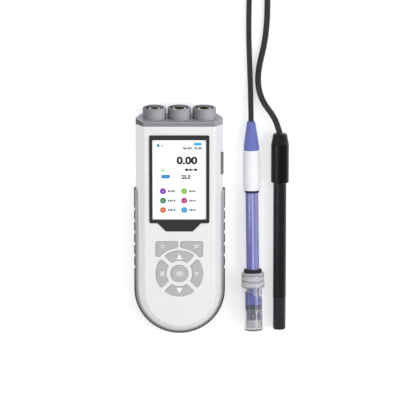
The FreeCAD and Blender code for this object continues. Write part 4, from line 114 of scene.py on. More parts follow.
class NodeSheet:
    """One material's nodes, with a short call for each pattern that the finishes share."""

    def __init__(self, name: str) -> None:
        """Starts a material with its shader and the piece's own coordinates.

        Args:
            name: the material's name.
        """
        self.material = bpy.data.materials.new(name)
        self.material.use_nodes = True
        self.tree = self.material.node_tree
        self.shader = self.tree.nodes["Principled BSDF"]
        self.place = self.tree.nodes.new("ShaderNodeTexCoord").outputs["Object"]

    def put(self, socket: Socket, value: object) -> None:
        """Sets one input of one of the sheet's nodes.

        Args:
            socket: the input.
            value: its value, or another node's output to link it to.
        """
        if isinstance(value, Socket):
            self.tree.links.new(value, socket)
        else:
            socket.default_value = value

    def add(
        self, kind: str, settings: dict[str, object] | None = None, **inputs: object
    ) -> bpy.types.Node:
        """Adds a node.

        Args:
            kind: the node's type without its common beginning.
            settings: properties of the node itself.
            **inputs: its inputs by name, with _ for a space; a value or another node's output.

        Returns:
            The new node.
        """
        node = self.tree.nodes.new(f"ShaderNode{kind}")
        for name, value in (settings or {}).items():
            setattr(node, name, value)
        for name, value in inputs.items():
            self.put(node.inputs[name.replace("_", " ")], value)
        return node

    def reckon(self, operation: str, *values: object) -> Socket:
        """One step of arithmetic.

        Args:
            operation: which step.
            *values: numbers or patterns that it works on, in the node's order.

        Returns:
            The result's output.
        """
        node = self.add("Math", {"operation": operation})
        for socket, value in zip(node.inputs, values):
            self.put(socket, value)
        return node.outputs[0]

    def along(self, line: Line | None, stretch: Point = (1, 1, 1)) -> Socket:
        """Coordinates with z along an axis.

        Args:
            line: the axis, or None for the piece's own directions.
            stretch: scale along x, y and z after the turn.

        Returns:
            The coordinates' output.
        """
        place = self.place
        if line is not None:
            turn = line.turn().inverted()
            shift = turn @ -Vector(line.start)
            node = self.add("Mapping", Vector=place, Location=shift, Rotation=turn.to_euler())
            place = node.outputs["Vector"]
        if stretch != (1, 1, 1):
            place = self.add("Mapping", Vector=place, Scale=stretch).outputs["Vector"]
        return place

    def noise(self, size: float, detail: float = 3.0, place: Socket | None = None) -> Socket:
        """Soft noise whose features are about so large, in metres."""
        vector = self.place if place is None else place
        return self.add("TexNoise", Vector=vector, Scale=1 / size, Detail=detail).outputs["Fac"]

    def across(self, line: Line | None, way: Point) -> Socket:
        """How far a point lies along a direction, in metres.

        Args:
            line: the axis whose own frame holds the direction, or None for the piece's.
            way: the direction.

        Returns:
            The distance's output.
        """
        node = self.add("VectorMath", {"operation": "DOT_PRODUCT"})
        self.put(node.inputs[0], self.along(line))
        node.inputs[1].default_value = way
        return node.outputs["Value"]

    def steps(self, share: Socket, stops: Sequence[tuple[float, Tone]]) -> Socket:
        """A colour that changes from stop to stop.

        Args:
            share: a pattern from 0 to 1.
            stops: shares and the tones that stand there.

        Returns:
            The colour's output.
        """
        ramp = self.add("ValToRGB", Fac=share)
        places = ramp.color_ramp.elements
        while len(places) < len(stops):
            places.new(1.0)
        for place, (at, tone) in zip(places, stops):
            place.position = at
            place.color = tone.linear()
        return ramp.outputs["Color"]

    def spread(self, value: Socket, low: float, high: float, pick: Span = (0.3, 0.7)) -> Socket:
        """A pattern's middle range taken to a range of values, held at its ends."""
        ends = {"From_Min": pick[0], "From_Max": pick[1], "To_Min": low, "To_Max": high}
        return self.add("MapRange", Value=value, **ends).outputs["Result"]

    def past(self, value: Socket, edge: float, soft: float) -> Socket:
        """0 up to an edge and 1 beyond it, changing over a width."""
        return self.spread(value, 0, 1, (edge, edge + soft))

    def blend(self, share: Socket, first: object, second: object) -> Socket:
        """A colour between two.

        Args:
            share: a pattern from 0 to 1.
            first: the colour where the share is 0, or a pattern of colours.
            second: the colour where the share is 1, or a pattern of colours.

        Returns:
            The blend's output.
        """
        node = self.add("Mix", {"data_type": "RGBA"}, Factor=share)
        colours = [socket for socket in node.inputs if socket.type == "RGBA"]
        self.put(colours[0], first)
        self.put(colours[1], second)
        return [socket for socket in node.outputs if socket.type == "RGBA"][0]

    def mottle(self, tone: Tone, amount: float, size: float) -> Socket:
        """The colour with soft patches a little darker and lighter."""
        share = self.spread(self.noise(size, 2.0), 0, 1)
        return self.blend(share, tone.linear(1 - amount), tone.linear(1 + amount))

    def relief(self, height: Socket, depth: float, under: Socket | None = None) -> Socket:
        """Bumps in the surface.

        Args:
            height: their pattern.
            depth: their real depth in metres.
            under: another relief that they lie on.

        Returns:
            The relief's output.
        """
        node = self.add("Bump", Height=height, Distance=depth, Strength=1.0)
        if under is not None:
            self.put(node.inputs["Normal"], under)
        return node.outputs["Normal"]

    def surface(self, **values: object) -> None:
        """Sets or links the shader's own inputs, with _ for a space."""
        for name, value in values.items():
            self.put(self.shader.inputs[name.replace("_", " ")], value)


@dataclass(frozen=True)
class Finish:
    """What every finish has: a name and a colour."""

    name: str
    tone: Tone

    def draw(self, sheet: NodeSheet) -> None:
        """Draws the finish's own nodes; each kind of finish has its own.

        Args:
            sheet: the material's nodes.
        """
        raise NotImplementedError

    def material(self) -> bpy.types.Material:
        """The finish's material, drawn once and then shared.

        Returns:
            The material.
        """
        label = f"{self.name}_finish"
        known = bpy.data.materials.get(label)
        if known is not None:
            return known
        sheet = NodeSheet(label)
        self.draw(sheet)
        return sheet.material

    def dress(self, *pieces: Piece) -> None:
        """Puts the finish on whole pieces.

        Args:
            *pieces: new pieces or CAD nodes.
        """
        for piece in pieces:
            if not piece.material_slots:
                piece.data.materials.append(self.material())
            for place in piece.material_slots:
                place.material = self.material()

    def dress_nodes(self, *names: str) -> None:
        """Puts the finish on CAD nodes."""
        self.dress(*[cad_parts[name] for name in names])


@dataclass(frozen=True)
class Moulded(Finish):
    """Moulded plastic with the fine grain of its mould."""

    rough: float = 0.42
    grain: float = 0.35 * MM
    depth: float = 0.006 * MM
    patches: float = 0.025
    gloss: float = 0.4

    def draw(self, sheet: NodeSheet) -> None:
        """Grain in the relief, broad patches in colour and finer ones in roughness.

        Args:
            sheet: the material's nodes.
        """
        grain = sheet.noise(self.grain, 2.0)
        under = sheet.relief(sheet.noise(9 * MM, 2.0), 0.01 * MM)
        sheet.surface(
            Base_Color=sheet.mottle(self.tone, self.patches, 28 * MM),
            Roughness=sheet.spread(sheet.noise(4 * MM), self.rough - 0.05, self.rough + 0.06),
            Normal=sheet.relief(grain, self.depth, under),
            Specular_IOR_Level=self.gloss,
        )


@dataclass(frozen=True)
class Rubber(Finish):
    """Soft rubber, matt, with dust in its pores."""

    rough: float = 0.68
    grain: float = 0.5 * MM

    def draw(self, sheet: NodeSheet) -> None:
        """Pores in the relief and a little dust in the colour.

        Args:
            sheet: the material's nodes.
        """
        pores = sheet.noise(self.grain, 4.0)
        dust = sheet.spread(sheet.noise(1.2 * MM, 5.0), 0, 1, (0.55, 0.8))
        body = sheet.mottle(self.tone, 0.06, 15 * MM)
        sheet.surface(
            Base_Color=sheet.blend(dust, body, self.tone.linear(1.25)),
            Roughness=sheet.spread(pores, self.rough - 0.06, self.rough + 0.08),
            Normal=sheet.relief(pores, 0.02 * MM),
            Specular_IOR_Level=0.3,
            Sheen_Weight=0.08,
            Sheen_Roughness=0.5,
        )


@dataclass(frozen=True)
class GripRubber(Rubber):
    """Rubber of the grip: painted light towards the front, painted shade at the parting that
    reaches higher towards the meter's foot.
    """

    # dark is the painted shade at the parting; heights are where it gives way to painted light;
    # lean lets the painted shade reach higher towards the meter's foot.
    dark: Tone = Tone("343437")
    heights: Span = mm(17.1, 19.1)
    lean: float = 0.014

    def draw(self, sheet: NodeSheet) -> None:
        """As rubber, with painted shade low on the grip and painted light higher up.

        Args:
            sheet: the material's nodes.
        """
        super().draw(sheet)
        # Painted shade low on the grip and towards its foot, painted light higher up.
        rise = sheet.spread(sheet.across(None, (0, self.lean, 1)), 0, 1, self.heights)
        pale = sheet.mottle(self.tone, 0.06, 15 * MM)
        sheet.surface(Base_Color=sheet.blend(rise, self.dark.linear(), pale))


@dataclass(frozen=True)
class CapPlastic(Moulded):
    """Plastic of the head cap: ribs on its ends, with painted shade on its front face, its left end
    and the left of each collar, and painted light on its top, its right end and the right of each
    collar.
    """

    # dark is the tone of the painted shade on the left end.
    dark: Tone = Tone("3a3a3f")
    end: float = 32.6 * MM
    edge: float = 101.9 * MM
    slope: float = 0.105
    pitch: float = 1.3 * MM
    # front and top are shares of the tone: painted shade on the front face, painted light on the
    # top.
    front: float = 0.75
    top: float = 1.25
    collar_foot: float = 102.8 * MM
    collar_pitch: float = 22.8 * MM
    # Tones painted across each collar: painted shade at its left side, painted highlight right of
    # its middle and a little painted shade at its right edge.
    collar_shade_tones: tuple[tuple[float, Tone], ...] = (
        (0.03, Tone("62636a")), (0.13, Tone("6d6e74")), (0.36, Tone("898a90")),
        (0.6, Tone("a1a2a8")), (0.84, Tone("a9aab0")), (0.97, Tone("96979d")),
    )

    def painted_collar_shade(self, sheet: NodeSheet) -> Socket:
        """Painted shade and highlight across each collar, from its left to its right side.

        Args:
            sheet: the material's nodes.

        Returns:
            The tone's output.
        """
        side = sheet.across(None, (1, 0, 0))
        turns = sheet.reckon("MULTIPLY_ADD", side, 1 / self.collar_pitch, 0.5)
        return sheet.steps(sheet.reckon("FRACT", turns), self.collar_shade_tones)

    def draw(self, sheet: NodeSheet) -> None:
        """As moulded plastic, with the ends' ribs drawn as stripes, painted shade on the left end
        and the front face, and painted light on the right end and the top.

        Args:
            sheet: the material's nodes.
        """
        super().draw(sheet)
        height = sheet.across(None, (0, 1, self.slope))
        below = sheet.spread(height, 1, 0, (self.edge, self.edge + 0.1 * MM))
        left = sheet.past(sheet.across(None, (-1, 0, 0)), self.end, 0.4 * MM)
        right = sheet.past(sheet.across(None, (1, 0, 0)), self.end, 0.4 * MM)
        wave = sheet.add(
            "TexWave", {"bands_direction": "Y"}, Vector=sheet.place, Scale=WAVE_SCALE / self.pitch
        )
        ribs = sheet.spread(wave.outputs["Fac"], 0, 0.6, (0.45, 0.9))
        # Painted light on the top, painted shade on the front face below its edge.
        face = sheet.blend(below, self.tone.linear(self.top), self.tone.linear(self.front))
        above = sheet.past(height, self.collar_foot, 0.2 * MM)
        # Each collar gets its painted shade and highlight above the collar foot.
        body = sheet.blend(above, face, self.painted_collar_shade(sheet))
        # The right end gets painted light, its ribs drawn as lighter and darker stripes.
        pale = sheet.blend(ribs, self.tone.linear(1.2), self.tone.linear(0.7))
        # The left end gets painted shade, its ribs drawn as lighter stripes of it.
        shaded_left_end = sheet.blend(ribs, self.dark.linear(), self.dark.linear(2.2))
        with_lit_right_end = sheet.blend(sheet.reckon("MULTIPLY", below, right), body, pale)
        sheet.surface(Base_Color=sheet.blend(sheet.reckon("MULTIPLY", below, left), with_lit_right_end, shaded_left_end))


@dataclass(frozen=True)
class TurnedMetal(Finish):
    """Plated or bare metal with the fine rings of a lathe round its axis."""

    line: Line | None = None
    rough: float = 0.2
    ring: float = 0.25 * MM

    def draw(self, sheet: NodeSheet) -> None:
        """Rings along the axis in roughness and relief, with faint tarnish.

        Args:
            sheet: the material's nodes.
        """
        rings = sheet.noise(self.ring, 3.0, sheet.along(self.line, (0.02, 0.02, 1)))
        tarnish = sheet.spread(sheet.noise(3 * MM, 4.0), 0, 1, (0.45, 0.75))
        sheet.surface(
            Base_Color=sheet.blend(tarnish, self.tone.linear(), self.tone.linear(0.82)),
            Roughness=sheet.spread(rings, self.rough - 0.06, self.rough + 0.12),
            Normal=sheet.relief(rings, 0.004 * MM),
            Metallic=1.0,
        )


@dataclass(frozen=True)
class Clear(Finish):
    """Clear or tinted plastic or glass, a little wavy as it left its mould."""

    rough: float = 0.04
    ior: float = 1.46
    passes: float = 1.0
    wave: float = 0.02 * MM
    line: Line | None = None
    bands: float = 0.0
    band_pitch: float = 2.2 * MM

    def draw(self, sheet: NodeSheet) -> None:
        """Waves in the relief, and bands that lie across the axis.

        Args:
            sheet: the material's nodes.
        """
        colour = sheet.mottle(self.tone, 0.03, 12 * MM)
        if self.bands:
            wave = sheet.add(
                "TexWave", {"bands_direction": "Z", "wave_profile": "SIN"},
                Vector=sheet.along(self.line), Scale=WAVE_SCALE / self.band_pitch,
                Distortion=1.6, Detail=0.0, Detail_Scale=2.2,
            )
            marks = sheet.spread(wave.outputs["Fac"], 0, self.bands, (0.55, 1.0))
            colour = sheet.blend(marks, colour, self.tone.linear(0.3))
        sheet.surface(
            Base_Color=colour,
            Roughness=sheet.spread(sheet.noise(2 * MM), self.rough * 0.6, self.rough * 1.6 + 0.01),
            Normal=sheet.relief(sheet.noise(6 * MM, 2.0), self.wave),
            IOR=self.ior,
            Transmission_Weight=self.passes,
        )


@dataclass(frozen=True)
class TintedTube(Finish):
    """The electrode's tinted tube: painted shade and highlight across it, fine painted dark lines
    along it, a dark ring and a clear guard with painted glints.
    """

    line: Line = ELECTRODE
    radius: float = 6.05 * MM
    ring: Span = mm(13.2, 17.6)
    ring_tone: Tone = Tone("1d1f4c")
    guard: Tone = Tone("b9bac6")
    # Tone of the painted glints on the clear guard.
    glint: Tone = Tone("6c6e96")
    # Tone of the fine painted dark lines along the tube.
    streak_shade: Tone = Tone("5357a2")
    passes: float = 0.2
    # Painted shade and highlight across the tube: darker and lighter bands, and a bright highlight
    # near its middle.
    streaks: tuple[tuple[float, str], ...] = (
        (0.0, "6266b8"), (0.12, "9194da"), (0.24, "8083cc"), (0.31, "6064b2"), (0.38, "888bd0"),
        (0.48, "9396d8"), (0.52, "d8daff"), (0.57, "c2c5fb"), (0.62, "7f82c8"), (0.72, "9a9cd6"),
        (0.86, "b2b3de"), (1.0, "8385c6"),
    )

    def draw(self, sheet: NodeSheet) -> None:
        """Painted shade and highlight across, fine painted dark lines, ring and guard with painted
        glints along the axis, and a gloss over all of it.

        Args:
            sheet: the material's nodes.
        """
        side = sheet.across(self.line, (-1, 0, 0))
        share = sheet.spread(side, 0, 1, (-self.radius, self.radius))
        # Painted shade and highlight across the tube.
        body = sheet.steps(share, [(at, Tone(code)) for at, code in self.streaks])
        lines = sheet.noise(1.1 * MM, 3.0, sheet.along(self.line, (1, 1, 0.012)))
        # Fine painted dark lines along the axis; the same noise also gives real bumps.
        fine = sheet.blend(sheet.spread(lines, 0, 0.35), body, self.streak_shade.linear())
        along = sheet.across(self.line, (0, 0, 1))
        # Painted glints on the clear guard.
        glints = sheet.spread(sheet.noise(1.3 * MM, 4.0), 0, 1, (0.42, 0.6))
        tip = sheet.blend(glints, self.guard.linear(), self.glint.linear())
        lower = sheet.blend(sheet.past(along, self.ring[0], 0.3 * MM), tip, self.ring_tone.linear())
        beyond = sheet.past(along, self.ring[1], 0.3 * MM)
        sheet.surface(
            Base_Color=sheet.blend(beyond, lower, fine),
            Roughness=sheet.spread(sheet.noise(4 * MM), 0.06, 0.12),
            Normal=sheet.relief(lines, 0.02 * MM),
            IOR=1.46,
            Transmission_Weight=self.passes,
            Coat_Weight=0.3,
        )


@dataclass(frozen=True)
class SoakingLiquid(Finish):
    """Liquid that is tinted above the electrode's dark ring and nearly clear round its tip."""

    line: Line = ELECTRODE
    reach: Span = (0.0, 30 * MM)
    swirl: float = 1.6 * MM
    ring: Tone = Tone("12145c")
    base: Tone = Tone("fdfdff")
    base_ends: float = 0.1
    pale: Tone = Tone("dfe0f0")
    clears_at: float = 0.38

    def draw(self, sheet: NodeSheet) -> None:
        """Tint and see-through share both change along the axis.

        Args:
            sheet: the material's nodes.
        """
        cloud = sheet.noise(5 * MM, 3.0)
        height = sheet.reckon("MULTIPLY_ADD", cloud, self.swirl, sheet.across(self.line, (0, 0, 1)))
        rise = sheet.spread(height, 0, 1, self.reach)
        low, high = self.base_ends, self.clears_at
        stops = (
            (0.0, self.base), (low, self.base), (low + 0.04, self.pale), (high, self.pale),
            (high + 0.08, self.ring), (high + 0.19, self.ring), (high + 0.24, self.tone),
            (1.0, self.tone),
        )
        base = sheet.spread(rise, 0.5, 1, (low, low + 0.03))
        clears = sheet.spread(rise, 0.97, 0.1, (high, high + 0.06))
        sheet.surface(
            Base_Color=sheet.steps(rise, stops),
            Roughness=sheet.spread(cloud, 0.01, 0.03),
            IOR=1.34,
            Transmission_Weight=sheet.reckon("MULTIPLY", base, clears),
        )


@dataclass(frozen=True)
class Pane(Finish):
    """A thin clear window with a faint film of dust and polish."""

    veil: float = 0.1

    def draw(self, sheet: NodeSheet) -> None:
        """Mostly see-through, with the veil a little uneven.

        Args:
            sheet: the material's nodes.
        """
        film = sheet.noise(7 * MM, 4.0)
        sheet.surface(
            Base_Color=self.tone.linear(),
            Roughness=sheet.spread(film, 0.03, 0.09),
            Alpha=sheet.spread(film, self.veil * 0.8, self.veil * 1.2),
            Normal=sheet.relief(sheet.noise(14 * MM, 1.0), 0.004 * MM),
        )


@dataclass(frozen=True)
class Lit(Finish):
    """A lit screen, or a mark on it, made of fine square dots."""

    glow: float = 0.25
    dot: float = 0.153 * MM

    def draw(self, sheet: NodeSheet) -> None:
        """A faint net of dots in the colour, and an even glow.

        Args:
            sheet: the material's nodes.
        """
        net = sheet.add(
            "TexBrick", {"offset": 0.0, "squash": 1.0}, Vector=sheet.place, Scale=1.0,
            Brick_Width=self.dot, Row_Height=self.dot, Mortar_Size=self.dot * 0.12,
            Color1=self.tone.linear(), Color2=self.tone.linear(0.985),
            Mortar=self.tone.linear(0.94),
        )
        sheet.surface(
            Base_Color=net.outputs["Color"],
            Roughness=sheet.spread(sheet.noise(3 * MM), 0.35, 0.45),
            Specular_IOR_Level=0.2,
            Emission_Color=self.tone.linear(),
            Emission_Strength=self.glow,
        )


@dataclass(frozen=True)
class Board(Finish):
    """A circuit board's lacquer over its copper."""

    fields_a_metre: float = 420.0

    def draw(self, sheet: NodeSheet) -> None:
        """Square fields of copper, seen as a lighter green.

        Args:
            sheet: the material's nodes.
        """
        settings = {"distance": "CHEBYCHEV", "feature": "F1"}
        cells = sheet.add("TexVoronoi", settings, Vector=sheet.place, Scale=self.fields_a_metre)
        track = sheet.spread(cells.outputs["Distance"], 0, 1, (0.28, 0.34))
        sheet.surface(
            Base_Color=sheet.blend(track, self.tone.linear(1.5), self.tone.linear()),
            Roughness=sheet.spread(track, 0.28, 0.38),
            Normal=sheet.relief(track, 0.02 * MM),
            Coat_Weight=0.3,
        )


@dataclass(frozen=True)
class CellWrap(Finish):
    """A battery cell's printed sleeve: one colour with a lighter end band."""

    band: Tone = Tone("c8ccd2")
    band_edge: Span = (0.0598, 0.06)

    def draw(self, sheet: NodeSheet) -> None:
        """The band lies across each cell, near one end.

        Args:
            sheet: the material's nodes.
        """
        end = sheet.spread(sheet.across(None, (0, 1, 0)), 0, 1, self.band_edge)
        sheet.surface(
            Base_Color=sheet.blend(end, sheet.mottle(self.tone, 0.03, 10 * MM), self.band.linear()),
            Roughness=sheet.spread(sheet.noise(2 * MM), 0.22, 0.34),
            Normal=sheet.relief(sheet.noise(5 * MM), 0.01 * MM),
        )


class Finishes(Enum):
    """Every finish on the meter and its probes."""

    HOUSING = Moulded("housing_white", Tone("ebebec"), rough=0.4, patches=0.012)
    CAP = CapPlastic("cap_grey", Tone("9c9ca3"), rough=0.44)
    GRIP = GripRubber("grip_rubber", Tone("acacae"))
    COVER = Rubber("port_cover_rubber", Tone("77777a"))
    BEZEL = Moulded("bezel_black", Tone("303031"), rough=0.34, grain=0.2 * MM, gloss=0.3)
    WINDOW = Pane("screen_window", Tone("f2f4f6"), veil=0.015)
    SCREEN = Lit("display", Tone("fafbfd"), glow=0.42)
    INNER = Moulded("inner_plastic", Tone("47474a"), rough=0.55)
    KEY = Moulded("key_grey", Tone("b9b9ba"), rough=0.46, grain=0.3 * MM)
    SEAL = Rubber("seal_rubber", Tone("26262a"))
    BOARD = Board("board", Tone("0e5f37"))
    CHIP = Moulded("chip_black", Tone("2b2b2e"), rough=0.5)
    STEEL = TurnedMetal("steel", Tone("b9b9bb"), rough=0.3)
    NICKEL = TurnedMetal("nickel", Tone("cfccc6"), SOCKET)
    NICKEL_BAYONET = TurnedMetal("nickel_bayonet", Tone("cfccc6"), BAYONET)
    NICKEL_ROUND = TurnedMetal("nickel_round", Tone("cfccc6"), ROUND_PLUG)
    GOLD = TurnedMetal("gold_contact", Tone("dcb968"), SOCKET, rough=0.18)
    WIRE = Rubber("wire", Tone("b0392f"), rough=0.5)
    CELL = CellWrap("cell_wrap", Tone("2b60a0"))
    DOOR = Moulded("door_white", Tone("e8e8e9"), rough=0.44)
    LEAD = Rubber("lead_grey", Tone("2c2c2f"), rough=0.34, grain=0.8 * MM)
    STRAP = Moulded("strap", Tone("1d1d1f"), rough=0.5)
    PLUG = Moulded("plug_black", Tone("27272a"), rough=0.45)
    TUBE = TintedTube("tube_violet", Tone("8285c8"))
    GLASS = Clear("glass_clear", Tone("eef0f8"), rough=0.02, ior=1.5, wave=0.005 * MM)
    POROUS = Rubber("porous_white", Tone("e9e6de"), rough=0.8, grain=0.3 * MM)
    SILVER = TurnedMetal("silver", Tone("c6c6c8"), ELECTRODE, rough=0.35)
    RING_NAVY = Rubber("ring_navy", Tone("23234a"), rough=0.45)
    HANDLE = Moulded("handle_white", Tone("f1f1f5"), rough=0.38, patches=0.015)
    BOOT = Rubber("boot_blue", Tone("6a76bb"), rough=0.45)
    BOTTLE = Clear("bottle_clear", Tone("fafafc"), rough=0.03, passes=0.95)
    NUT = Clear(
        "nut_clear", Tone("e8e8ec"), rough=0.18, passes=0.4, line=ELECTRODE,
        bands=0.6, band_pitch=5.2 * MM,
    )
    LIQUID = SoakingLiquid("soaking_liquid", Tone("666ad6"))
    PROBE = Moulded(
        "probe_black", Tone("08080b"), rough=0.26, depth=0.0015 * MM, patches=0.03, gloss=0.2
    )
    SHAFT = Moulded(
        "shaft_black", Tone("16161b"), rough=0.3, depth=0.001 * MM, patches=0.03, gloss=0.3
    )
    GLAND = Rubber("gland_black", Tone("111114"), rough=0.4)
    MEMBRANE_CAP = Moulded("cap_dark", Tone("24272b"), rough=0.36, gloss=0.3)
    SENSOR = Moulded("sensor_resin", Tone("3a3a40"), rough=0.3)
    LEGEND = Moulded("key_legend", Tone("f6f6f6"), rough=0.5, patches=0.01)

    def dress(self, *names: str) -> None:
        """Puts the finish on CAD nodes."""
        self.value.dress_nodes(*names)


# Making new pieces.
class Bench:
    """Where new pieces start from a primitive and are shaped in edit mode."""

    @staticmethod
    def clear() -> None:
        """Leaves edit mode and selects nothing."""
        if bpy.context.mode != "OBJECT":
            bpy.ops.object.mode_set(mode="OBJECT")
        bpy.ops.object.select_all(action="DESELECT")

    @staticmethod
    def pick(*pieces: Piece) -> None:
        """Selects only some pieces, the first one active.

        Args:
            *pieces: the pieces.
        """
        Bench.clear()
        for piece in pieces:
            piece.select_set(True)
        bpy.context.view_layer.objects.active = pieces[0]

    @staticmethod
    @contextmanager
    def editing(piece: Piece) -> Iterator[None]:
        """Edit mode on one piece, with everything on it selected at first.

        Args:
            piece: the piece to edit.

        Yields:
            Nothing; the piece is in edit mode meanwhile.
        """
        Bench.pick(piece)
        bpy.ops.object.mode_set(mode="EDIT")
        bpy.ops.mesh.select_all(action="SELECT")
        yield
        bpy.ops.object.mode_set(mode="OBJECT")

    @staticmethod
    def faces(piece: Piece, wanted: Callable[[bmesh.types.BMFace], bool]) -> None:
        """Selects faces, in edit mode.

        Args:
            piece: the piece that is edited.
            wanted: the test that a face has to pass.
        """
        bpy.ops.mesh.select_mode(type="FACE")
        bpy.ops.mesh.select_all(action="DESELECT")
        mesh = bmesh.from_edit_mesh(piece.data)
        for face in [f for f in mesh.faces if wanted(f)]:
            face.select_set(True)
        mesh.select_flush_mode()
        bmesh.update_edit_mesh(piece.data)

    @staticmethod
    def settle(piece: Piece, name: str) -> Piece:
        """Names a new piece and takes its place and size into its mesh.

        Args:
            piece: the new piece.
            name: its name.

        Returns:
            The same piece.
        """
        piece.name = name
        Bench.pick(piece)
        bpy.ops.object.transform_apply(location=True, rotation=True, scale=True)
        return piece

    @staticmethod
    def raise_flat(piece: Piece, thick: float) -> Piece:
        """Draws a flat piece up, closed all round.

        Args:
            piece: the flat piece.
            thick: the thickness that it gets.

        Returns:
            The same piece.
        """
        with Bench.editing(piece):
            bpy.ops.mesh.extrude_region_move(TRANSFORM_OT_translate={"value": (0, 0, thick)})
            bpy.ops.mesh.select_all(action="SELECT")
            bpy.ops.mesh.normals_make_consistent(inside=False)
        return piece

    @staticmethod
    def join(name: str, pieces: Sequence[Piece]) -> Piece:
        """Makes several pieces of one finish one.

        Args:
            name: its name.
            pieces: what it is made of.

        Returns:
            The joined piece.
        """
        Bench.pick(*pieces)
        if len(pieces) > 1:
            bpy.ops.object.join()
        pieces[0].name = name
        return pieces[0]


@dataclass(frozen=True)
class Sheet:
    """The level that flat marks lie on: their underside and thickness."""

    low: float
    thick: float

    def plate(self, x: Span, y: Span, corner: float = 0.0) -> Piece:
        """A flat plate between two x and two y, its corners rounded.

        Args:
            x: its sides.
            y: its lower and upper edge.
            corner: radius of its corners.

        Returns:
            The finished plate.
        """
        Bench.clear()
        middle = ((x[0] + x[1]) / 2, (y[0] + y[1]) / 2, self.low)
        bpy.ops.mesh.primitive_plane_add(size=1, location=middle)
        bpy.context.object.scale = (x[1] - x[0], y[1] - y[0], 1)
        piece = Bench.settle(bpy.context.object, "plate")
        if corner:
            with Bench.editing(piece):
                bpy.ops.mesh.bevel(offset=corner, segments=5, affect="VERTICES")
        return Bench.raise_flat(piece, self.thick)

    def disc(self, x: float, y: float, radius: float, sides: int = 40, turn: float = 0.0) -> Piece:
        """A flat disc, or a polygon of few sides.

        Args:
            x: its middle.
            y: its middle.
            radius: of its corners.
            sides: how many it has.
            turn: angle of its first corner from the top.

        Returns:
            The finished disc.
        """
        Bench.clear()
        bpy.ops.mesh.primitive_circle_add(
            vertices=sides, radius=radius, fill_type="NGON",
            location=(x, y, self.low), rotation=(0, 0, turn),
        )
        return Bench.raise_flat(Bench.settle(bpy.context.object, "disc"), self.thick)

    @staticmethod
    def ring(piece: Piece, wall: float) -> Piece:
        """Turns a plate or disc into a ring.

        Args:
            piece: the plate or disc.
            wall: the ring's even width.

        Returns:
            The same piece.
        """
        with Bench.editing(piece):
            Bench.faces(piece, lambda f: abs(f.normal.z) > 0.9)
            bpy.ops.mesh.inset(thickness=wall, depth=0)
            bpy.ops.mesh.bridge_edge_loops()
        return piece

    def figures(self, text: str, x: Span, y: Span, bold: float = 0.0) -> Piece:
        """Plain figures that fill a box.

        Args:
            text: the figures.
            x: their left and right edge.
            y: their foot and head.
            bold: how much fatter their strokes are, as a share of their size.

        Returns:
            The figures as a flat mesh.
        """
        Bench.clear()
        bpy.ops.object.text_add()
        words = bpy.context.object
        words.data.body = text
        words.data.size = 1.0
        words.data.offset = bold
        words.data.extrude = 0.5
        words.data.resolution_u = 4
        bpy.ops.object.convert(target="MESH")
        piece = bpy.context.object
        corners = [Vector(c) for c in piece.bound_box]
        low = Vector([min(c[i] for c in corners) for i in range(3)])
        high = Vector([max(c[i] for c in corners) for i in range(3)])
        size = high - low
        grow = ((x[1] - x[0]) / size.x, (y[1] - y[0]) / size.y, self.thick / size.z)
        piece.scale = grow
        foot = (x[0], y[0], self.low)
        piece.location = [at - corner * share for at, corner, share in zip(foot, low, grow)]
        return Bench.settle(piece, "figures")


def carry(piece: Piece, body: str, finish: Finish) -> None:
    """Dresses a new piece and puts it on its body.

    Args:
        piece: the finished piece.
        body: the CAD body that carries it.
        finish: the finish itself.
    """
    piece.data.materials.clear()
    finish.dress(piece)
    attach(piece, body)
    LOG.info("made %s on %s", piece.name, body)


# Camera, floor and light.
@dataclass(frozen=True)
class Lamp:
    """A soft box that faces the object, with its width and length and whether gloss shows it."""

    name: str
    place: Point
    size: Span
    watts: float
    mirrored: bool = False
    aim: Point = (0.03, 0.03, 0.01)

    def hang(self) -> None:
        """Adds the lamp to the scene."""
        light = bpy.data.lights.new(self.name, "AREA")
        light.shape = "RECTANGLE"
        light.size, light.size_y = self.size
        light.energy = self.watts
        lamp = bpy.data.objects.new(self.name, light)
        bpy.context.scene.collection.objects.link(lamp)
        lamp.visible_glossy = self.mirrored
        away = (Vector(self.place) - Vector(self.aim)).normalized()
        turn = away.to_track_quat("Z", "Y").to_matrix().to_4x4()
        lamp.matrix_world = Matrix.Translation(self.place) @ turn


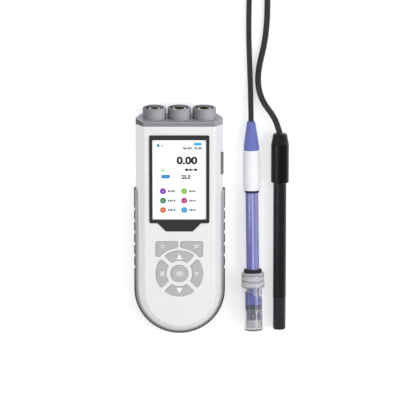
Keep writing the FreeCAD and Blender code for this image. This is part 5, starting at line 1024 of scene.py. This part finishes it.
@dataclass
class Studio:
    """The camera, the pale floor and plain soft lamps."""

    target: Point = (0.02622, 0.0168, 0.016)
    tilt: float = 10.5
    distance: float = 3.0
    view_width: float = 382.7 * MM
    sensor: float = 36.0
    sees_to: float = 50.0
    floor_size: float = 9.0
    floor_level: float = -0.2 * MM
    floor_glow: float = 0.42
    paper: Tone = Tone("eeeeee")
    sky: float = 0.4
    lamps: tuple[Lamp, ...] = (
        Lamp("right_box", (0.95, 0.1, 0.78), (0.8, 0.8), 8.6),
        Lamp("left_box", (-0.95, 0.0, 0.5), (0.8, 0.8), 1.5),
        Lamp("left_strip", (-0.6, -0.1, 0.85), (0.1, 1.1), 1.9, mirrored=True),
        Lamp("head_box", (0.1, 0.5, 1.3), (0.9, 0.6), 3.2),
    )

    def camera(self) -> None:
        """A long lens above the meter, a little towards its head."""
        slope = math.radians(self.tilt)
        back = Vector((0, math.sin(slope), math.cos(slope)))
        up = Vector((0, math.cos(slope), -math.sin(slope)))
        lens = bpy.data.cameras.new("camera")
        lens.sensor_width = self.sensor
        lens.lens = self.sensor * self.distance / self.view_width
        lens.clip_end = self.sees_to
        camera = bpy.data.objects.new("camera", lens)
        bpy.context.scene.collection.objects.link(camera)
        turn = Matrix((up.cross(back), up, back)).transposed().to_4x4()
        camera.matrix_world = Matrix.Translation(Vector(self.target) + back * self.distance) @ turn
        bpy.context.scene.camera = camera

    def floor(self) -> None:
        """A white floor that keeps the shadow and reads white where it is lit."""
        Bench.clear()
        bpy.ops.mesh.primitive_plane_add(size=self.floor_size, location=(0, 0, self.floor_level))
        floor = Bench.settle(bpy.context.object, "floor")
        with Bench.editing(floor):
            bpy.ops.mesh.subdivide(number_cuts=3)
        sheet = NodeSheet("floor_paper")
        sheet.surface(
            Base_Color=sheet.mottle(self.paper, 0.004, 0.4),
            Roughness=0.9,
            Specular_IOR_Level=0.1,
            Emission_Color=WHITE,
            Emission_Strength=self.seen(sheet, self.floor_glow),
        )
        floor.data.materials.append(sheet.material)

    @staticmethod
    def seen(sheet: NodeSheet, strength: float) -> Socket:
        """A strength where the camera looks, straight, in metal or through glass, and 0 elsewhere.

        Args:
            sheet: the floor's nodes.
            strength: the strength there.

        Returns:
            The strength's output.
        """
        path = sheet.add("LightPath").outputs
        total = path["Is Camera Ray"]
        for name in ("Is Glossy Ray", "Is Transmission Ray"):
            total = sheet.reckon("MAXIMUM", total, path[name])
        return sheet.spread(total, 0, strength, (0, 1))

    def world(self) -> None:
        """An even pale sky, white where the camera sees it."""
        world = bpy.data.worlds.new("studio")
        bpy.context.scene.world = world
        world.use_nodes = True
        nodes, links = world.node_tree.nodes, world.node_tree.links
        light, white = nodes["Background"], nodes.new("ShaderNodeBackground")
        for node, strength in ((light, self.sky), (white, 1.0)):
            node.inputs["Color"].default_value = WHITE
            node.inputs["Strength"].default_value = strength
        path, mix = nodes.new("ShaderNodeLightPath"), nodes.new("ShaderNodeMixShader")
        sources = (path.outputs["Is Camera Ray"], light.outputs[0], white.outputs[0])
        for source, socket in zip(sources, mix.inputs):
            links.new(source, socket)
        links.new(mix.outputs[0], nodes["World Output"].inputs["Surface"])

    def build(self) -> None:
        """Sets up all of it."""
        bpy.context.scene.view_settings.view_transform = "Standard"
        self.camera()
        self.floor()
        self.world()
        for lamp in self.lamps:
            lamp.hang()
        LOG.info("studio ready")


# The leads.
@dataclass(frozen=True)
class Coil:
    """A put-away coil of two layers, wound from outside in and back out on top.

    Its lay says, after so many turns, how many columns from the outside and how many layers from
    below the lead lies, in its own diameters.
    """

    centre: Span
    outer: float
    lead: float
    joins_at: float
    way: int
    level: float = 0.9 * MM
    steps: int = 16
    turns: float = 4.375
    lay: tuple[Point, ...] = (
        (0, 0, 0), (0.875, 0, 0), (0.9375, 0.6, 0), (1, 1, 0), (1.875, 1, 0), (1.9375, 1.6, 0),
        (2, 2, 0), (2.25, 2, 0), (2.3125, 1.97, 0.3), (2.375, 1.78, 0.72), (2.4375, 1.38, 0.96),
        (2.5, 1, 1), (3.3125, 1, 1), (3.375, 0.76, 1), (3.4375, 0.36, 1), (3.5, 0, 1), (5, 0, 1),
    )

    def spot(self, turn: float) -> Span:
        """Where the lead lies after so many turns.

        Args:
            turn: turns from where the lead joins.

        Returns:
            Its column and its layer.
        """
        before, after = next(pair for pair in zip(self.lay, self.lay[1:]) if turn <= pair[1][0])
        share = (turn - before[0]) / (after[0] - before[0])
        column, layer = (a + share * (b - a) for a, b in zip(before[1:], after[1:]))
        return column, layer

    def points(self) -> list[Vector]:
        """The control points of all turns.

        Returns:
            The points, from where the lead joins.
        """
        found = []
        swell = 1 / math.cos(math.pi / self.steps)
        for step in range(int(self.turns * self.steps) + 1):
            turn = step / self.steps
            column, layer = self.spot(turn)
            angle = math.radians(self.joins_at + self.way * 360 * turn)
            radius = (self.outer - column * self.lead) * swell
            x = self.centre[0] + radius * math.cos(angle)
            y = self.centre[1] + radius * math.sin(angle)
            found.append(Vector((x, y, self.level + self.lead * (0.5 + layer))))
        return found


@dataclass
class Lead:
    """A probe's lead: the route that the photograph shows, its coil and its plug."""

    name: str
    body: str
    route: Sequence[Point]
    coil: Coil
    plug: Line
    length: float
    stands_for: tuple[str, ...]
    carries: tuple[str, ...]
    into_plug: float = 0.5 * MM
    led_at: tuple[float, ...] = (0.4, 0.75)

    def build(self) -> None:
        points = [Vector(p) for p in self.route] + self.coil.points()
        last, end = points[-1], self.plug.at(self.into_plug)
        points += [*[last.lerp(end, share) for share in self.led_at], end]
        curve = bpy.data.curves.new(self.name, "CURVE")
        curve.dimensions = "3D"
        curve.resolution_u = 6
        curve.bevel_depth = self.coil.lead / 2
        curve.bevel_resolution = 5
        curve.use_fill_caps = True
        spline = curve.splines.new("NURBS")
        spline.points.add(len(points) - 1)
        for spot, point in zip(spline.points, points):
            spot.co = (*point, 1)
        spline.order_u = 3
        spline.use_endpoint_u = True
        piece = bpy.data.objects.new(self.name, curve)
        bpy.context.scene.collection.objects.link(piece)
        carry(piece, self.body, Finishes.LEAD.value)
        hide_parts(*self.stands_for)


PH_LEAD = Lead(
    name="ph_lead",
    body="ph_electrode",
    route=(
        tuple(ELECTRODE.at(0.1874)), tuple(ELECTRODE.at(0.1994)),
        (0.0652, 0.126, 0.0047), (0.0643, 0.15, 0.0031), (0.0634, 0.178, 0.0028),
        (0.0637, 0.206, 0.003), (0.0645, 0.226, 0.0033), (0.065, 0.243, 0.0034),
    ),
    coil=Coil((0.033, 0.248), 0.032, 0.005, 0, 1),
    plug=BAYONET,
    length=0.95,
    stands_for=("ph_cord", "ph_coil"),
    carries=("bnc_plug", "bnc_ring", "ph_tie"),
)
OXYGEN_LEAD = Lead(
    name="oxygen_lead",
    body="do_probe",
    route=(
        tuple(OXYGEN.at(0.1831)), (0.0896, 0.0947, 0.009), (0.0844, 0.1038, 0.0083),
        (0.0779, 0.1121, 0.0068), (0.0734, 0.1221, 0.005), (0.0718, 0.134, 0.0038),
        (0.0732, 0.1479, 0.0032), (0.0776, 0.1654, 0.0031), (0.0801, 0.1852, 0.0032),
        (0.0806, 0.205, 0.0034), (0.0804, 0.227, 0.0036), (0.0804, 0.245, 0.0037),
    ),
    coil=Coil((0.115, 0.251), 0.0346, 0.0056, 180, -1),
    plug=ROUND_PLUG,
    length=1.03,
    stands_for=("do_cord", "do_coil"),
    carries=("round_plug", "plug_nut", "do_tie"),
)


# The meter.
@dataclass
class Housing:
    """Shells, head cap, grip and port cover."""

    def dress(self) -> None:
        """Finishes of the outer pieces and of what holds them together."""
        Finishes.HOUSING.dress("front_shell", "back_shell")
        Finishes.CAP.dress("top_cap")
        Finishes.GRIP.dress("grip_bumper")
        Finishes.COVER.dress("port_cover")
        Finishes.SEAL.dress("housing_seal")
        Finishes.STEEL.dress("shell_screws", "usb_port")
        LOG.info("housing dressed")


@dataclass
class Screen:
    """The display behind its window, and the page that it shows."""

    page: Sheet = Sheet(29.752 * MM, 0.012 * MM)
    marks: Sheet = Sheet(29.766 * MM, 0.012 * MM)
    top: Sheet = Sheet(29.78 * MM, 0.006 * MM)
    dark: Tone = Tone("0c0c0e")
    grey: Tone = Tone("5a5d63")
    blue: Tone = Tone("3fa4dd")
    reading: Box = (mm(-2.6, 16.6), mm(59.7, 67.3))
    lesser: Box = (mm(1.7, 10.4), mm(46.2, 50.2))
    degree: Span = mm(12.6, 49.4)
    clock: Box = (mm(3.0, 20.7), mm(73.5, 76.1))
    battery: Box = (mm(13.1, 20.1), mm(77.2, 80.1))
    battery_nub: Box = (mm(20.2, 20.8), mm(78.1, 79.2))
    card_box: Box = (mm(-20.1, 20.7), mm(41.8, 71.8))
    icons: tuple[Tone, ...] = (
        Tone("7a12bd"), Tone("84b82a"), Tone("10843c"),
        Tone("b8127a"), Tone("dc6414"), Tone("1c98d0"),
    )
    columns: Span = mm(-15.0, 4.4)
    rows: tuple[float, ...] = (35.0 * MM, 26.2 * MM, 17.5 * MM)
    pill: Span = mm(13.6, 4.2)

    def glowing(self, name: str, tone: Tone, pieces: Sequence[Piece], glow: float = 0.2) -> None:
        """Joins marks of one colour and puts them on the screen."""
        carry(Bench.join(name, pieces), "meter", Lit(name, tone, glow=glow))

    def strokes(self, x: Span, y: float, high: float, widths: Sequence[float]) -> list[Piece]:
        """A row of plain blocks that fills a width, in place of a word.

        Args:
            x: the row's ends.
            y: its middle.
            high: the blocks' height.
            widths: their widths as shares; the gaps between them are one share of 0.5 each.

        Returns:
            The blocks.
        """
        unit = (x[1] - x[0]) / (sum(widths) + 0.5 * (len(widths) - 1))
        pieces, start = [], x[0]
        for wide in widths:
            ends = (start, start + wide * unit)
            pieces.append(self.marks.plate(ends, (y - high / 2, y + high / 2), high * 0.2))
            start += (wide + 0.5) * unit
        return pieces

    def readings(self) -> None:
        """The two readings, the clock and the battery's mark."""
        big = self.marks.figures("0.00", *self.reading, bold=0.05)
        small = self.marks.figures("25.0", *self.lesser, bold=0.055)
        degree = self.marks.ring(self.marks.disc(*self.degree, 0.75 * MM, 20), 0.3 * MM)
        bars = self.strokes(mm(5.2, 16.2), 54.9 * MM, 2.3 * MM, (3.0, 2.2, 1.0, 2.4))
        self.glowing("readings", self.dark, [big, small, degree, *bars], 0.0)
        clock = self.marks.figures("06-03 10:30", *self.clock, bold=0.06)
        self.glowing("clock", self.grey, [clock], 0.05)
        case, nub = self.marks.plate(*self.battery, 0.5 * MM), self.marks.plate(*self.battery_nub)
        self.glowing("battery_mark", self.blue, [case, nub])

    def card(self) -> None:
        """The outlined card behind the readings, with its coloured marks."""
        outline = self.page.plate(*self.card_box, 1.6 * MM)
        self.glowing("card_outline", Tone("d5e3ea"), [self.page.ring(outline, 0.35 * MM)])
        drop = self.marks.disc(*mm(-19.2, 77.1), 1.5 * MM, 24)
        tip = self.marks.disc(*mm(-19.2, 78.5), 1.3 * MM, 3)
        stroke = self.marks.plate(mm(-17.0, -14.6), mm(76.4, 77.7), 0.5 * MM)
        self.glowing("water_mark", Tone("2f9cc4"), [drop, tip, stroke])
        leaf = self.marks.disc(*mm(-15.2, 54.4), 2.2 * MM, 24)
        self.glowing("green_mark", Tone("b9dcb0"), [leaf])
        pill = self.marks.plate(mm(-16.6, -8.3), mm(46.7, 50.4), 1.7 * MM)
        self.glowing("blue_mark", Tone("2f86cc"), [pill])
        drops = [self.marks.disc(*mm(x, y), 0.8 * MM, 16) for x, y in ((-9.6, 55.2), (-8.4, 53.7))]
        self.glowing("pale_mark", Tone("c4dde8"), drops)

    def menu(self) -> None:
        """Six round icons, each with a pale pill and a plain mark beside it."""
        pills, words, rings = [], [], []
        long, high = self.pill
        for row in self.rows:
            widths = (1.6, 1.0, 1.2, 0.9) if row > self.rows[1] else (1.1, 1.5, 0.8, 1.2)
            for x in self.columns:
                rise = (row - high / 2, row + high / 2)
                pills.append(self.page.plate((x, x + long), rise, 2 * MM))
                start, end = mm(4.6, 11.2 if x < 0 else 10.4)
                words += self.strokes((x + start, x + end), row, 1.7 * MM, widths)
        for index, tone in enumerate(self.icons):
            x, y = self.columns[index % 2], self.rows[index // 2]
            self.glowing(f"icon_{index + 1}", tone, [self.marks.disc(x, y, 2.8 * MM)], 0.1)
            mark = self.top.disc(x, y, 1.0 * MM, 24 if index % 2 else 6)
            rings.append(self.top.ring(mark, 0.2 * MM))
        self.glowing("menu_pills", Tone("e9f3f8"), pills)
        self.glowing("menu_marks", Tone("4a4c52"), words, 0.0)
        self.glowing("icon_marks", Tone("e6e6f0"), rings, 0.0)

    def build(self) -> None:
        """Dresses the display and lays out its page."""
        Finishes.BEZEL.dress("display_bezel")
        Finishes.WINDOW.dress("display_lens")
        Finishes.SCREEN.dress("display_panel")
        Finishes.INNER.dress("display_frame")
        self.readings()
        self.card()
        self.menu()
        LOG.info("screen ready")


@dataclass
class KeyPad:
    """Seven keys with their moulded legends, the mat and the switches under them."""

    legends: Sheet = Sheet(32.795 * MM, 0.06 * MM)
    arrows: tuple[tuple[str, float, float], ...] = (
        ("key_up", -26.2 * MM, 0.0), ("key_down", -56.4 * MM, math.pi),
    )
    arrow: float = 3.3 * MM
    power_at: Span = mm(-15.3, -15.9)
    bar: float = 0.7 * MM
    bar_pitch: float = 1.5 * MM
    barred: tuple[tuple[str, Span, tuple[float, ...]], ...] = (
        ("key_calibrate", mm(15.6, -15.9), (4.6, 3.0)),
        ("key_left", mm(-15.6, -41.4), (3.8, 3.8, 3.8)),
        ("key_right", mm(15.8, -41.4), (4.4, 2.6)),
        ("key_enter", mm(0.0, -41.4), (5.2, 7.4, 5.2)),
    )

    def mark(self, key: str, pieces: Sequence[Piece]) -> None:
        """Joins a legend and puts it on its key."""
        carry(Bench.join(f"{key}_legend", pieces), key, Finishes.LEGEND.value)

    def power(self) -> None:
        """A ring with a short stroke through its top."""
        x, y = self.power_at
        ring = self.legends.ring(self.legends.disc(x, y, 1.7 * MM, 32), 0.45 * MM)
        stroke = self.legends.plate((x - 0.22 * MM, x + 0.22 * MM), (y + 0.3 * MM, y + 2.1 * MM))
        self.mark("key_power", [ring, stroke])

    def bars(self, key: str, middle: Span, widths: Sequence[float]) -> None:
        """A few plain strokes, one above the other.

        Args:
            key: the key's body.
            middle: the key's middle.
            widths: how wide the strokes are in millimetres, from above.
        """
        pieces = []
        for index, wide in enumerate(widths):
            low = middle[1] + (len(widths) / 2 - index - 0.75) * self.bar_pitch
            ends = (middle[0] - wide * MM / 2, middle[0] + wide * MM / 2)
            pieces.append(self.legends.plate(ends, (low, low + self.bar), 0.25 * MM))
        self.mark(key, pieces)

    def build(self) -> None:
        """Dresses the pad and adds the legends."""
        Finishes.KEY.dress(
            "key_calibrate", "key_down", "key_enter", "key_left", "key_power", "key_right", "key_up"
        )
        Finishes.SEAL.dress("keypad_seal")
        Finishes.CHIP.dress("tactile_switches")
        for key, y, turn in self.arrows:
            self.mark(key, [self.legends.disc(0, y, self.arrow, 3, turn)])
        self.power()
        for key, middle, widths in self.barred:
            self.bars(key, middle, widths)
        LOG.info("key pad ready")


@dataclass
class Inside:
    """Board, batteries and the door over them."""

    def dress(self) -> None:
        """Finishes of what the housing closes in, and of the battery door."""
        Finishes.BOARD.dress("main_board")
        Finishes.CHIP.dress("board_chips")
        Finishes.WIRE.dress("socket_leads")
        Finishes.INNER.dress("battery_tray")
        Finishes.CELL.dress("battery_cells")
        Finishes.STEEL.dress("battery_contacts", "door_screws")
        Finishes.DOOR.dress("battery_door")
        Finishes.SEAL.dress("door_seal")
        LOG.info("inside dressed")


@dataclass
class Sockets:
    """The three sockets at the head."""

    def dress(self) -> None:
        """Plated shells, dark insulators and gold contacts."""
        Finishes.NICKEL.dress("jack_shells", "jack_nuts")
        Finishes.INNER.dress("jack_insulators")
        Finishes.GOLD.dress("jack_contacts")
        Finishes.SEAL.dress("jack_seals")
        LOG.info("sockets dressed")


# The probes.
@dataclass
class PhElectrode:
    """The tinted electrode, its handle and boot, and the bottle over its tip."""

    bottle_inside: float = 7.55 * MM
    tube_outside: float = 6.1 * MM
    floor_at: float = -5.25 * MM
    floor_thick: float = 0.6 * MM
    level: Span = mm(33.4, 28.8)
    spare: float = 6 * MM

    def liquid(self) -> None:
        """The soaking liquid between the tube and the bottle, its level aslant."""
        length = self.level[0] + self.spare
        down = (0, 0, self.floor_thick - length)
        Bench.clear()
        bpy.ops.mesh.primitive_cylinder_add(
            vertices=64, radius=self.bottle_inside, depth=length, end_fill_type="NGON",
            location=(0, 0, length / 2),
        )
        piece = Bench.settle(bpy.context.object, "soaking_liquid")
        wall = self.bottle_inside - self.tube_outside
        middle = (self.level[0] + self.level[1]) / 2
        lean = (self.level[1] - self.level[0]) / (2 * self.bottle_inside)
        with Bench.editing(piece):
            Bench.faces(piece, lambda f: f.normal.z > 0.9)
            bpy.ops.mesh.inset(thickness=wall, depth=0)
            bpy.ops.mesh.extrude_region_move(TRANSFORM_OT_translate={"value": down})
            bpy.ops.mesh.select_all(action="SELECT")
            bpy.ops.mesh.bisect(
                plane_co=(0, 0, middle), plane_no=(lean, 0, 1), clear_outer=True, use_fill=True
            )
            bpy.ops.mesh.select_all(action="SELECT")
            bpy.ops.mesh.normals_make_consistent(inside=False)
        piece.data.transform(Matrix.Translation(ELECTRODE.at(self.floor_at)) @ ELECTRODE.turn())
        bpy.ops.object.shade_smooth_by_angle(angle=math.radians(30))
        carry(piece, "soak_bottle", Finishes.LIQUID.value)

    def build(self) -> None:
        """Dresses the electrode and the bottle."""
        Finishes.TUBE.dress("ph_tube")
        Finishes.GLASS.dress("ph_stem")
        Finishes.POROUS.dress("ph_junction")
        Finishes.SILVER.dress("ph_silver_wire")
        Finishes.RING_NAVY.dress("ph_seal_ring")
        Finishes.HANDLE.dress("ph_handle")
        Finishes.BOOT.dress("ph_boot")
        Finishes.BOTTLE.dress("storage_bottle")
        Finishes.NUT.dress("bottle_nut")
        Finishes.SEAL.dress("bottle_seal_ring")
        Finishes.STRAP.dress("ph_tie")
        Finishes.PLUG.dress("bnc_plug")
        Finishes.NICKEL_BAYONET.dress("bnc_ring")
        self.liquid()
        LOG.info("pH electrode ready")


@dataclass
class OxygenProbe:
    """The black oxygen probe and its membrane cap."""

    def dress(self) -> None:
        """Gloss black body, rubber gland, matt cap."""
        Finishes.PROBE.dress("do_head")
        Finishes.SHAFT.dress("do_shaft")
        Finishes.GLAND.dress("do_gland")
        Finishes.SENSOR.dress("do_sensor")
        Finishes.MEMBRANE_CAP.dress("membrane_cap")
        Finishes.STRAP.dress("do_tie")
        Finishes.PLUG.dress("round_plug")
        Finishes.NICKEL_ROUND.dress("plug_nut")
        LOG.info("oxygen probe dressed")


def main() -> None:
    """Builds the camera and the leads first, then each sub-assembly."""
    logging.basicConfig(level=logging.INFO, format="%(message)s")
    Studio().build()
    PH_LEAD.build()
    OXYGEN_LEAD.build()
    Housing().dress()
    Screen().build()
    KeyPad().build()
    Inside().dress()
    Sockets().dress()
    PhElectrode().build()
    OxygenProbe().dress()


if __name__ == "__main__":
    main()
